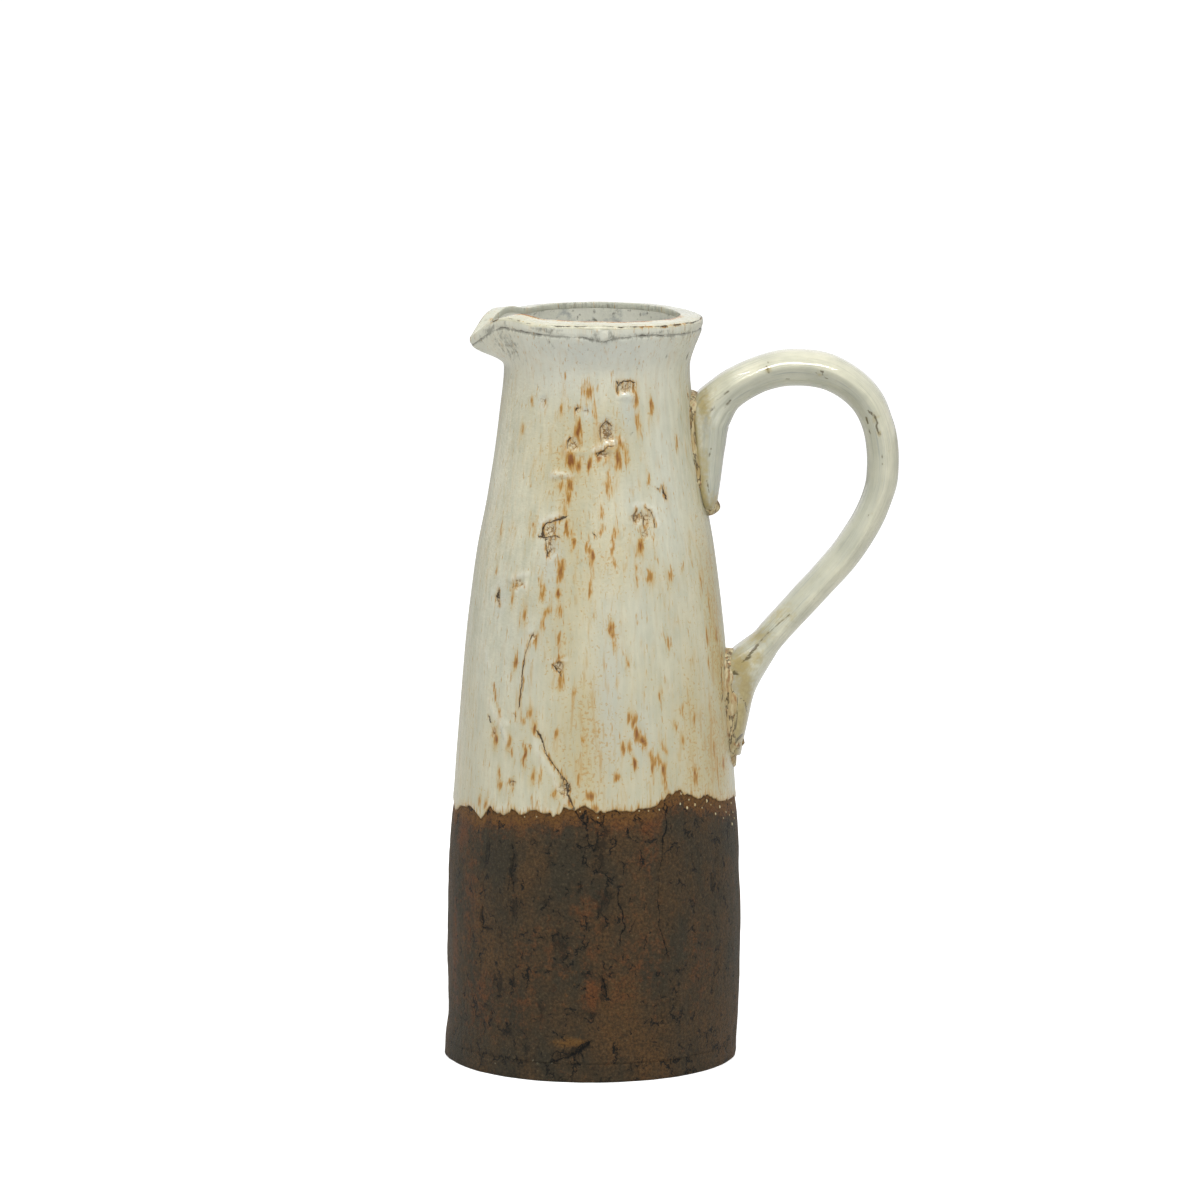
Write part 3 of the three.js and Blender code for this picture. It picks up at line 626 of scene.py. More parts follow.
def blobs(azimuth, z, table, softness=1.0):
    """The same for ellipses that are given in pixels."""
    rows = [(*on_body(x, y), half_width / PIXELS_PER_MM, half_height / PIXELS_PER_MM, strength)
            for x, y, half_width, half_height, strength in table]
    return spots(azimuth, z, rows, softness)


def streaks(azimuth, z, table, spread=0):
    """The same for upright streaks that are given by top, bottom and width, widened by spread."""
    rows = [
        (x, (top + bottom) / 2, width / 2 + 0.5 + spread, (bottom - top) / 2 + 2 + 3 * spread, strength)
        for x, top, bottom, width, strength in table
    ]
    return blobs(azimuth, z, rows)


def lines(azimuth, z, table):
    """For polylines through pixels: the nearness, strength times 1 less the distance over the
    width, and the distance to the nearest in half widths, with its sign by the side of the line."""
    near = np.zeros(np.broadcast(azimuth, z).shape)
    side = np.full(near.shape, FAR_OFF)
    for width, strength, *places in table:
        half = width / 20
        for start, end in zip(places, places[1:]):
            along, up = offset_from(azimuth, z, *start)
            end_along, end_up = offset_from(azimuth, z, *end)
            run, rise = along - end_along, up - end_up
            distance = from_line(along, up, run, rise)
            near = np.maximum(near, strength * np.clip(1 - distance / (2 * half + LINE_HALO), 0, 1))
            signed = np.where(along * rise > up * run, distance, -distance) / half
            side = np.where(np.abs(signed) < np.abs(side), signed, side)
    return near, side


def columns_round(front, back):
    """Azimuths once round, close together on the side that faces the camera."""
    start = -math.pi / 2 - FRONT_ARC / 2
    near = start + FRONT_ARC * np.arange(front) / front
    far = start + FRONT_ARC + (2 * math.pi - FRONT_ARC) * np.arange(back) / back
    return np.concatenate([near, far])


def closed_mesh(name, grid, attributes=None, capped=False):
    """A mesh from a grid of rows by columns that closes round its columns. The rows close too,
    like a ring's, or with capped the first and last row each end in a fan round their middle."""
    rows, columns = grid.shape[:2]
    index = np.arange(rows * columns).reshape(rows, columns)
    low = index[:-1] if capped else index
    high = index[1:] if capped else np.roll(index, -1, axis=0)
    quads = np.stack([low, np.roll(low, -1, axis=1), np.roll(high, -1, axis=1), high], axis=-1)
    points = grid.reshape(-1, 3)
    faces = quads.reshape(-1, 4).tolist()
    if capped:
        points = np.concatenate([points, [grid[0].mean(axis=0), grid[-1].mean(axis=0)]])
        foot, top = rows * columns, rows * columns + 1
        around = np.roll(index, -1, axis=1)
        faces += np.stack([around[0], index[0], np.full(columns, foot)], axis=-1).tolist()
        faces += np.stack([index[-1], around[-1], np.full(columns, top)], axis=-1).tolist()
    mesh = bpy.data.meshes.new(name)
    mesh.from_pydata((points * MM).tolist(), [], faces)
    for key, values in (attributes or {}).items():
        flat = np.zeros(len(points))
        flat[:rows * columns] = np.broadcast_to(values, (rows, columns)).reshape(-1)
        layer = mesh.attributes.new(key, "FLOAT", "POINT")
        layer.data.foreach_set("value", flat.astype(np.float32))
    mesh.polygons.foreach_set("use_smooth", [True] * len(mesh.polygons))
    mesh.update()
    piece = bpy.data.objects.new(name, mesh)
    bpy.context.scene.collection.objects.link(piece)
    return piece


def finished(piece, material, slot, *nodes):
    """Gives a piece its material, its body and the CAD nodes that it stands for. The slot is not used."""
    piece.data.materials.append(material)
    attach(piece, "root")
    if nodes:
        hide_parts(*nodes)
    return piece


# Materials

# Kinds of node and of operation
MIX, MATH, RAMP = "ShaderNodeMixRGB", "ShaderNodeMath", "ShaderNodeMapRange"
NOISE, ATTRIBUTE, VECTOR = "ShaderNodeTexNoise", "ShaderNodeAttribute", "ShaderNodeVectorMath"
CELLS, CELL_BORDERS = "ShaderNodeTexVoronoi", {"feature": "DISTANCE_TO_EDGE"}
ADD, MULTIPLY, MULTIPLY_ADD = ({"operation": kind} for kind in ("ADD", "MULTIPLY", "MULTIPLY_ADD"))
MAXIMUM, ABSOLUTE = ({"operation": kind} for kind in ("MAXIMUM", "ABSOLUTE"))

# A pattern's scale is this over its real size in millimetres
PER_METRE = 1000.0


def linear(colour):
    """An sRGB hex colour as linear red, green, blue and alpha."""
    parts = [int(colour[i:i + 2], 16) / 255 for i in (1, 3, 5)]
    return [p / 12.92 if p <= 0.04045 else ((p + 0.055) / 1.055) ** 2.4 for p in parts] + [1.0]


def node(tree, kind, settings=None, inputs=None, output=0):
    """Adds a node with its settings and input values or links, and returns one of its outputs."""
    made = tree.nodes.new(kind)
    for key, value in (settings or {}).items():
        setattr(made, key, value)
    for key, value in (inputs or {}).items():
        if isinstance(value, bpy.types.NodeSocket):
            tree.links.new(value, made.inputs[key])
        else:
            made.inputs[key].default_value = value
    return made.outputs[output]


def started(name):
    """A new material, its node tree and the piece's own coordinates."""
    material = bpy.data.materials.new(name)
    material.use_nodes = True
    tree = material.node_tree
    tree.nodes.clear()
    return material, tree, node(tree, "ShaderNodeTexCoord", output=3)


def ended(tree, bumps, inputs, distance):
    """Adds the bumps to the surface and links the shader to the output."""
    normal = node(tree, "ShaderNodeBump", {}, {"Height": bumps, "Distance": distance, "Strength": 1.0})
    shader = node(tree, "ShaderNodeBsdfPrincipled", {}, {"Normal": normal, **inputs})
    material_out = tree.nodes.new("ShaderNodeOutputMaterial")
    tree.links.new(shader, material_out.inputs["Surface"])


def grainy(tree, base, added, gain, low, high, most=1.0):
    """A share with a grainy edge: base and gain times added, ramped from 0 at low to most at high."""
    total = node(tree, MATH, MULTIPLY_ADD, {0: added, 1: gain, 2: base})
    return node(tree, RAMP, {}, {"Value": total, "From Min": low, "From Max": high, "To Max": most})


def line_share(tree, line, side, swaying, sway, rough, core, end, most):
    """How dark a thin line is. Its distance in half widths is moved aside by noise up to sway, and 3
    times a rough noise is added to its size. The share is 1 up to core, falls to 0 at end, and is
    multiplied by the line's nearness, ramped up to most."""
    swayed = node(tree, RAMP, {}, {"Value": swaying, "To Min": -sway, "To Max": sway})
    apart = node(tree, MATH, ADD, {0: side, 1: swayed})
    apart = node(tree, MATH, ABSOLUTE, {0: apart})
    apart = node(tree, MATH, MULTIPLY_ADD, {0: rough, 1: 3.0, 2: apart})
    thin = {"Value": apart, "From Min": core, "From Max": end, "To Min": 1, "To Max": 0}
    thin = node(tree, RAMP, {}, thin)
    near = node(tree, RAMP, {}, {"Value": line, "From Min": 0.25, "From Max": 0.7, "To Max": most})
    return node(tree, MATH, MULTIPLY, {0: thin, 1: near})


def cream_glaze():
    """Cream tin-like glaze on brown clay: thick brushed glaze, fired, with iron that broke through
    as rust streaks. It gives the eye a soft gloss, upright brush streaks, ochre and bluish zones,
    pale zones that are painted light, brown pits and a dark line where it runs thin at an edge."""
    material, tree, place = started("brushed cream glaze with iron streaks")
    line, side, rust, ochre, cool, pit, smudge, white = (
        node(tree, ATTRIBUTE, {"attribute_name": name}, output=2) for name in GLAZE_MARKS)
    # The brush and the run of the glaze draw its patterns out upwards
    brushed, running, wispy = (
        node(tree, VECTOR, MULTIPLY, {0: place, 1: (1.0, 1.0, height)}) for height in (0.08, 0.14, 0.4))
    fine = node(tree, NOISE, {}, {"Vector": brushed, "Scale": PER_METRE / 1.6, "Detail": 4.0})
    broad = node(tree, NOISE, {}, {"Vector": brushed, "Scale": PER_METRE / 9, "Detail": 3.0})
    cloud = node(tree, NOISE, {}, {"Vector": place, "Scale": PER_METRE / 38, "Detail": 4.0})
    patchy = node(tree, NOISE, {}, {"Vector": place, "Scale": PER_METRE / 6, "Detail": 5.0})
    gritty = node(tree, NOISE, {}, {"Vector": place, "Scale": PER_METRE / 1.5, "Detail": 3.0})
    streaky = node(tree, MATH, ADD, {0: fine, 1: broad})
    streaky = node(tree, MATH, MULTIPLY_ADD, {0: patchy, 1: 0.8, 2: streaky})
    share = node(tree, RAMP, {}, {"Value": streaky, "From Min": 1.0, "From Max": 1.8})
    colour = node(tree, MIX, {}, {"Fac": share, "Color1": linear("#b4b39d"), "Color2": linear("#d0cdb6")})
    # A wash of ochre that follows the brush, cool zones, and white zones: painted light on the collar
    # and the rim, and partly painted highlight on the crests beside cracks
    wide = node(tree, RAMP, {}, {"Value": cloud, "From Min": 0.48, "From Max": 0.72, "To Max": 0.35})
    tint = node(tree, MATH, ADD, {0: ochre, 1: wide})
    streaked = node(tree, RAMP, {}, {"Value": streaky, "From Min": 1.0, "From Max": 1.7, "To Min": 0.4})
    washed = node(tree, MATH, {**MULTIPLY, "use_clamp": True}, {0: tint, 1: streaked})
    washed = node(tree, MATH, MULTIPLY, {0: washed, 1: 0.6})
    cool = node(tree, MATH, MULTIPLY, {0: cool, 1: 0.7})
    # Rust: marked places and, more faintly, everywhere the stretched noise peaks
    runs = node(tree, NOISE, {}, {"Vector": running, "Scale": PER_METRE / 2.4, "Detail": 3.0})
    grain = node(tree, NOISE, {}, {"Vector": running, "Scale": PER_METRE / 0.9, "Detail": 3.0})
    halo = grainy(tree, rust, runs, 1.3, 0.7, 1.15, 0.4)
    strength = node(tree, MATH, MULTIPLY_ADD, {0: grain, 1: 2.2, 2: rust})
    seen = node(tree, RAMP, {}, {"Value": strength, "From Min": 1.35, "From Max": 1.7, "To Max": 0.92})
    loose = grainy(tree, runs, tint, 0.12, 0.68, 0.86, 0.55)
    # Fine ochre specks where the wash is thick
    dust = node(tree, NOISE, {}, {"Vector": place, "Scale": PER_METRE / 1.3, "Detail": 3.0})
    dust = grainy(tree, dust, washed, 0.3, 0.68, 0.8, 0.6)
    for more in (loose, dust):
        seen = node(tree, MATH, MAXIMUM, {0: seen, 1: more})
    deep = node(tree, RAMP, {}, {"Value": strength, "From Min": 1.6, "From Max": 2.3})
    iron = node(tree, MIX, {}, {"Fac": deep, "Color1": linear("#b08742"), "Color2": linear("#7a420d")})
    # Pits, with a net of froth in them
    inside = node(tree, RAMP, {}, {"Value": pit, "From Min": 0.25, "From Max": 0.7, "To Max": 0.6})
    foam = node(tree, RAMP, {}, {"Value": gritty, "From Min": 0.42, "From Max": 0.6})
    foam = node(tree, MIX, {}, {"Fac": foam, "Color1": linear("#cfc8ad"), "Color2": linear("#a17f45")})
    moved = node(tree, NOISE, {}, {"Vector": place, "Scale": PER_METRE / 2, "Detail": 2.0}, 1)
    moved = node(tree, VECTOR, MULTIPLY_ADD, {0: moved, 1: (2 * MM,) * 3, 2: place})
    froth = node(tree, CELLS, CELL_BORDERS, {"Vector": moved, "Scale": PER_METRE / 1.7})
    froth = {"Value": froth, "From Min": 0.03, "From Max": 0.16, "To Min": 1, "To Max": 0}
    froth = node(tree, RAMP, {}, froth)
    holed = grainy(tree, pit, gritty, 1.6, 1.15, 1.5, 0.8)
    netted = node(tree, MATH, MULTIPLY, {0: froth, 1: holed})
    # Grey wisps under the band, densest just below it, and beside the spout, and last the dark lines,
    # which include painted shadow along the upper lips of pits
    wisps = {"Vector": wispy, "Scale": PER_METRE / 1.6, "Detail": 6.0, "Roughness": 0.65}
    wisps = node(tree, NOISE, {}, wisps)
    dirty = grainy(tree, smudge, wisps, 2.0, 1.35, 1.75, 0.65)
    crisp = line_share(tree, line, side, gritty, 2.5, patchy, 1.9, 2.8, 0.92)
    for share, over in (
        (washed, linear("#b09d64")), (cool, linear("#b7bdb7")), (white, linear("#dcdcd2")),
        (halo, linear("#bd9c62")), (seen, iron), (inside, foam), (netted, linear("#684817")),
        (dirty, linear("#66665c")), (crisp, linear("#2c1c06")),
    ):
        colour = node(tree, MIX, {}, {"Fac": share, "Color1": colour, "Color2": over})
    relief = node(tree, MATH, MULTIPLY_ADD, {0: streaky, 1: 0.5, 2: gritty})
    relief = node(tree, MATH, MULTIPLY_ADD, {0: crisp, 1: -1.5, 2: relief})
    relief = node(tree, MATH, MULTIPLY_ADD, {0: netted, 1: -0.7, 2: relief})
    roughness = node(tree, RAMP, {}, {"Value": crisp, "To Min": 0.2, "To Max": 0.7})
    ended(tree, relief, {"Base Color": colour, "Roughness": roughness, "IOR": 1.5}, 0.22 * MM)
    return material


def handle_glaze():
    """The same glaze, thicker and whiter on the pulled strap: long soft grey streaks along it, a
    painted shade that greys its lower facet, thin cracks, ochre where it runs out at the roots, and
    a sharper shine."""
    material, tree, place = started("thick white glaze on the strap")
    along, across, under, tan, line = (
        node(tree, ATTRIBUTE, {"attribute_name": name}, output=2) for name in STRAP_MARKS)
    flow = node(tree, "ShaderNodeCombineXYZ", {}, {0: across, 1: along})
    flow = node(tree, VECTOR, MULTIPLY, {0: flow, 1: (1.0, 0.06, 1.0)})
    # The flow is in millimetres already, so this scale is one over its size
    fine = node(tree, NOISE, {}, {"Vector": flow, "Scale": 1 / 1.5, "Detail": 4.0})
    cloud = node(tree, NOISE, {}, {"Vector": place, "Scale": PER_METRE / 12, "Detail": 4.0})
    grain = node(tree, NOISE, {}, {"Vector": place, "Scale": PER_METRE / 1.8, "Detail": 4.0})
    streaky = node(tree, MATH, ADD, {0: fine, 1: cloud})
    share = node(tree, RAMP, {}, {"Value": streaky, "From Min": 0.75, "From Max": 1.25})
    colour = node(tree, MIX, {}, {"Fac": share, "Color1": linear("#b4b4a1"), "Color2": linear("#d6d3bc")})
    # Painted shade: the lower facet, which light from above reaches less, is greyed, and grey streaks
    # gather there
    lower_facet_shade = node(tree, MATH, MULTIPLY, {0: under, 1: 0.35})
    grey = grainy(tree, fine, under, 0.06, 0.58, 0.76, 0.7)
    tan = grainy(tree, tan, grain, 0.9, 0.55, 1.15, 0.9)
    olive = node(tree, MIX, {}, {"Fac": grain, "Color1": linear("#8b7741"), "Color2": linear("#b9ab78")})
    crisp = grainy(tree, line, grain, 1.2, 1.05, 1.5, 0.85)
    for share, over in (
        (lower_facet_shade, linear("#a8aca2")), (grey, linear("#8e938e")), (tan, olive),
        (crisp, linear("#5b5138")),
    ):
        colour = node(tree, MIX, {}, {"Fac": share, "Color1": colour, "Color2": over})
    relief = node(tree, MATH, MULTIPLY_ADD, {0: fine, 1: 0.8, 2: cloud})
    ended(tree, relief, {"Base Color": colour, "Roughness": 0.06, "IOR": 1.5}, 0.06 * MM)
    return material


def inner_glaze():
    """The glaze poured round the inside: greyer, thin, with dark pinholes."""
    material, tree, place = started("thin grey glaze inside")
    cloud = node(tree, NOISE, {}, {"Vector": place, "Scale": PER_METRE / 12, "Detail": 4.0})
    colour = node(tree, MIX, {}, {"Fac": cloud, "Color1": linear("#c3c4b6"), "Color2": linear("#dfded0")})
    mottle = {"Vector": place, "Scale": PER_METRE / 8, "Detail": 6.0, "Roughness": 0.65}
    mottle = node(tree, NOISE, {}, mottle)
    mottle = node(tree, RAMP, {}, {"Value": mottle, "From Min": 0.52, "From Max": 0.66, "To Max": 0.7})
    grain = node(tree, NOISE, {}, {"Vector": place, "Scale": PER_METRE / 2.4, "Detail": 4.0})
    speck = node(tree, RAMP, {}, {"Value": grain, "From Min": 0.6, "From Max": 0.72, "To Max": 0.85})
    for share, over in ((mottle, "#868d8f"), (speck, "#5c5a4c")):
        colour = node(tree, MIX, {}, {"Fac": share, "Color1": colour, "Color2": linear(over)})
    ended(tree, grain, {"Base Color": colour, "Roughness": 0.35, "IOR": 1.5}, 0.2 * MM)
    return material


def bare_clay():
    """Iron-rich clay left bare and fired nearly black: matte umber with warm brown patches, thin
    black cracks where it dried, black smoke stains and a fine gritty skin that hardly shines."""
    material, tree, place = started("bare dark terracotta clay")
    line, side, stain, chip, orange, ochre = (
        node(tree, ATTRIBUTE, {"attribute_name": name}, output=2) for name in CLAY_MARKS)
    upright = node(tree, VECTOR, MULTIPLY, {0: place, 1: (1.0, 1.0, 0.55)})
    cloud, fine, grain, scales = (
        node(tree, NOISE, {}, {
            "Vector": at, "Scale": PER_METRE / size, "Detail": detail, "Roughness": roughness})
        for at, size, detail, roughness in (
            (upright, 22, 8.0, 0.62), (place, 3.2, 6.0, 0.7), (place, 1.1, 4.0, 0.7),
            (upright, 2.4, 8.0, 0.75),
        ))
    share = node(tree, RAMP, {}, {"Value": cloud, "From Min": 0.4, "From Max": 0.66})
    colour = node(tree, MIX, {}, {"Fac": share, "Color1": linear("#3e3729"), "Color2": linear("#5c4327")})
    orange = grainy(tree, orange, fine, 2.2, 1.3, 1.9, 0.9)
    ochre = grainy(tree, ochre, fine, 1.6, 1.1, 1.8, 0.8)
    mottle = {"Value": grain, "From Min": 0.36, "From Max": 0.56, "To Min": 0.75, "To Max": 0.0}
    mottle = node(tree, RAMP, {}, mottle)
    bright = node(tree, RAMP, {}, {"Value": grain, "From Min": 0.58, "From Max": 0.72, "To Max": 0.4})
    # Short black cracks: the borders of wavering cells, seen only in some areas
    bent = node(tree, NOISE, {}, {"Vector": place, "Scale": PER_METRE / 3, "Detail": 4.0}, 1)
    bent = node(tree, VECTOR, MULTIPLY_ADD, {0: bent, 1: (6 * MM,) * 3, 2: upright})
    away = node(tree, CELLS, CELL_BORDERS, {"Vector": bent, "Scale": PER_METRE / 6})
    thin = {"Value": away, "From Min": 0.02, "From Max": 0.06, "To Min": 1, "To Max": 0}
    thin = node(tree, RAMP, {}, thin)
    where = node(tree, NOISE, {}, {"Vector": place, "Scale": PER_METRE / 5, "Detail": 3.0})
    likely = grainy(tree, where, stain, 0.2, 0.56, 0.6)
    thin = node(tree, MATH, MULTIPLY, {0: thin, 1: likely})
    soot = grainy(tree, stain, scales, 5.0, 3.05, 3.45, 0.62)
    black = node(tree, MATH, MAXIMUM, {0: thin, 1: soot})
    crisp = line_share(tree, line, side, scales, 7, grain, 2.3, 2.9, 1.0)
    chip = grainy(tree, chip, grain, 1.2, 1.15, 1.5, 0.75)
    for share, over in (
        (orange, "#6e4323"), (ochre, "#755227"), (mottle, "#2a261b"), (bright, "#756448"),
        (black, "#1b1913"), (crisp, "#0f0e0b"), (chip, "#85806c"),
    ):
        colour = node(tree, MIX, {}, {"Fac": share, "Color1": colour, "Color2": linear(over)})
    hollow = node(tree, MATH, MULTIPLY_ADD, {0: black, 1: -0.8, 2: grain})
    relief = node(tree, MATH, MULTIPLY_ADD, {0: fine, 1: 1.6, 2: hollow})
    relief = node(tree, MATH, MULTIPLY_ADD, {0: scales, 1: 1.6, 2: relief})
    matte = {"Roughness": 0.6, "IOR": 1.45, "Specular IOR Level": 0.22}
    ended(tree, relief, {"Base Color": colour, **matte}, 0.6 * MM)
    return material


def luting_clay():
    """Soft clay squeezed out round the handle's roots, half covered by thin glaze: tan and brown,
    rough, with dark cracks and pale crests."""
    material, tree, place = started("squeezed luting clay under thin glaze")
    upright = node(tree, VECTOR, MULTIPLY, {0: place, 1: (1.0, 1.0, 0.3)})
    cloud = node(tree, NOISE, {}, {"Vector": upright, "Scale": PER_METRE / 3.5, "Detail": 4.0})
    share = node(tree, RAMP, {}, {"Value": cloud, "From Min": 0.35, "From Max": 0.65})
    colour = node(tree, MIX, {}, {"Fac": share, "Color1": linear("#a48b58"), "Color2": linear("#cbc099")})
    grain = node(tree, NOISE, {}, {"Vector": upright, "Scale": PER_METRE / 1.4, "Detail": 4.0})
    brown = node(tree, RAMP, {}, {"Value": grain, "From Min": 0.5, "From Max": 0.66, "To Max": 0.85})
    split = node(tree, NOISE, {}, {"Vector": upright, "Scale": PER_METRE / 2.6, "Detail": 3.0})
    away = node(tree, MATH, ADD, {0: split, 1: -0.55})
    away = node(tree, MATH, ABSOLUTE, {0: away})
    crisp = node(tree, RAMP, {}, {"Value": away, "From Max": 0.03, "To Min": 0.85, "To Max": 0.0})
    for share, over in ((brown, "#93622d"), (crisp, "#3d2c12")):
        colour = node(tree, MIX, {}, {"Fac": share, "Color1": colour, "Color2": linear(over)})
    relief = node(tree, MATH, MULTIPLY_ADD, {0: cloud, 1: 2.0, 2: grain})
    relief = node(tree, MATH, MULTIPLY_ADD, {0: crisp, 1: -0.8, 2: relief})
    ended(tree, relief, {"Base Color": colour, "Roughness": 0.5, "IOR": 1.5}, 0.5 * MM)
    return material


# Relief and marks of the glazed body

LAP_AZIMUTH = on_body(*LAP_PX)[0]


def warped(azimuth, z):
    """The same places moved about by a millimetre of noise, so that no mark has a clean edge."""
    points = np.stack(np.broadcast_arrays(azimuth * BELLY_RADIUS, z, np.zeros_like(z)), axis=-1)
    return azimuth + WARP * noise(points, 4, 3, 2) / BELLY_RADIUS, z + WARP * noise(points, 4, 4, 2)


def glaze_marks(azimuth, z):
    """Relief in millimetres and the marks of the glaze at each place, as named fields. Pits are
    eased bowls, cracks are notches, and the edges beside them are ridges, whose pale colour is
    partly a painted highlight."""
    near_azimuth, near_z = warped(azimuth, z)
    depth = np.zeros(near_z.shape)
    pit = np.zeros(near_z.shape)
    for x, y, half_width, half_height, tenths in PITS_PX:
        bowl = blobs(near_azimuth, near_z, [(x, y, half_width, half_height, 1.0)])
        depth -= tenths / 10 * eased(0.1, 0.8, bowl)
        if tenths > 0:
            pit = np.maximum(pit, bowl * min(tenths / 8, 1))
    behind_rust, behind_pits = marks_behind()
    bowl = spots(near_azimuth, near_z, behind_pits)
    depth -= PIT_DEPTH_BEHIND * eased(0.1, 0.8, bowl)
    pit = np.maximum(pit, bowl)
    # Dark cracks, and arcs of painted shadow along the upper lips of pits
    line, side = lines(near_azimuth, near_z, CRACKS_PX)
    wide_cracks = [(width + 6, 0.55, *places) for width, _, *places in CRACKS_PX]
    halo, _ = lines(near_azimuth, near_z, wide_cracks)
    dot = blobs(azimuth, z, [(x, y, 1.5, 1.8, 1) for x, y in DOTS_PX])
    line = np.maximum(line, 0.55 * dot)
    side = np.where(dot > 0.15, 1.6 - 1.6 * dot, side)
    crest, _ = lines(near_azimuth, near_z, CRESTS_PX)
    depth += CREST_HEIGHT * crest - CRACK_DEPTH * np.clip(1 - np.abs(side) / 2, 0, 1)
    rust = np.maximum(streaks(near_azimuth, z, RUST_PX), spots(near_azimuth, z, behind_rust))
    wide = [(turn, up, 2.2 * half_width, 1.6 * half_height, strength)
            for turn, up, half_width, half_height, strength in behind_rust]
    ochre = np.maximum(1.1 * streaks(near_azimuth, z, RUST_PX, 3), spots(near_azimuth, z, wide))
    return depth, {
        "rust": np.maximum(rust, np.maximum(halo, 0.55 * pit)),
        # The ridges beside cracks are painted pale, partly as highlight
        "white": 0.45 * crest,
        "ochre": np.maximum(blobs(near_azimuth, near_z, OCHRE_PX), ochre),
        "cool": blobs(near_azimuth, near_z, COOL_PX),
        "smudge": blobs(near_azimuth, near_z, SMUDGE_PX),
        "pit": pit,
        "line": line,
        "side": side,
    }


def marks_behind():
    """Rust streaks in loose clusters and a few pits for the side that the photograph doesn't show,
    from a seeded generator."""
    chance = np.random.default_rng(BEHIND_SEED)
    rust = []
    for _ in range(RUST_CLUSTERS):
        turn, up = math.radians(chance.uniform(14, 166)), chance.uniform(120, 285)
        for _ in range(STREAKS_IN_CLUSTER):
            rust.append((turn + chance.normal(0, 0.1), up + chance.normal(0, 11),
                         chance.uniform(0.7, 1.4), chance.uniform(2, 4.5), chance.uniform(0.4, 1.0)))
    pits = [(math.radians(chance.uniform(20, 160)), chance.uniform(130, 280),
             chance.uniform(1.6, 3), chance.uniform(1.6, 3.4), 1.0) for _ in range(PITS_BEHIND)]
    return rust, pits


def lap_bump(azimuth):
    """1 where the rim band's ends lap at the front, falling to each side as a bell curve."""
    return np.exp(-(wrapped(azimuth - LAP_AZIMUTH) * RIM_RADIUS / LAP_HALF_WIDTH) ** 2)


def foot_of_band(azimuth):
    """Height of the groove under the rim band, which hangs lower where its ends lap."""
    points = upright_round(azimuth, RIM_RADIUS, 0)
    return BAND_GROOVE - LAP_SAG * lap_bump(azimuth) + 0.35 * noise(points, 6, 9, 2)


def band_relief(azimuth, z):
    """The groove under the rim band, broken by noise, and the lump of its lap. Also the nearness
    to the groove and the signed distance to it in half widths."""
    points = upright_round(azimuth, RIM_RADIUS, z)
    broken = np.clip(0.65 + 0.5 * noise(points, 5, 8, 2), 0, 1.2)
    foot = foot_of_band(azimuth)
    groove = np.exp(-((z - foot) / GROOVE_REACH) ** 2)
    lump = lap_bump(azimuth) * eased(foot - 0.6, foot + 0.4, z) * (1 - eased(317, 319.5, z))
    lump = lump * (1 + 0.6 * noise(points, 3, 10, 2))
    relief = LAP_LUMP * lump - GROOVE_DEPTH * groove * np.maximum(broken, 0.2)
    return relief, groove * broken, (z - foot) / GROOVE_HALF_WIDTH


def glaze_edge(azimuth):
    """Height of the ragged lower edge of the glaze: the photograph's points in front, and slow
    and quick noise round the same mean behind."""
    edge_azimuth, edge_z = on_body(*np.array(GLAZE_EDGE_PX).T)
    order = np.argsort(edge_azimuth)
    front = np.interp(azimuth, edge_azimuth[order], edge_z[order])
    points = upright_round(azimuth, BELLY_RADIUS, 0)
    behind = GLAZE_LINE - 1 + 1.6 * noise(points, 26, 1) + 1.4 * noise(points, 7, 2, 2)
    turn = wrapped(azimuth + math.pi / 2)
    share = eased(math.radians(76), math.radians(96), np.abs(turn))
    ragged = 0.8 * noise(points, 2.2, 5, 2)
    return front * (1 - share) + behind * share + ragged


def foot_uneven(azimuth, z):
    """How far the bare clay stands out at a place: slow waves and quick ones."""
    points = upright_round(azimuth, BELLY_RADIUS, z)
    return 0.22 * noise(points, 30, 11, 2) + 0.18 * noise(points * [1, 1, 0.6], 7, 12, 3)


def foot_clay(azimuth, z):
    """Radius of the bare clay. It is worn back a little just under the glaze, and is smeared out
    to the base slab's edge at its foot."""
    wall = outer_radius(z) - DIP_DEPTH * eased(GLAZE_LINE - DIP_REACH, GLAZE_LINE, z)
    smeared = 1 - eased(SLAB_THICKNESS, SLAB_THICKNESS + SMEAR_HEIGHT, z)
    slab = SLAB_RADIUS - SLAB_OFFSET * np.cos(azimuth)
    return wall + smeared * (slab - wall) + foot_uneven(azimuth, z)


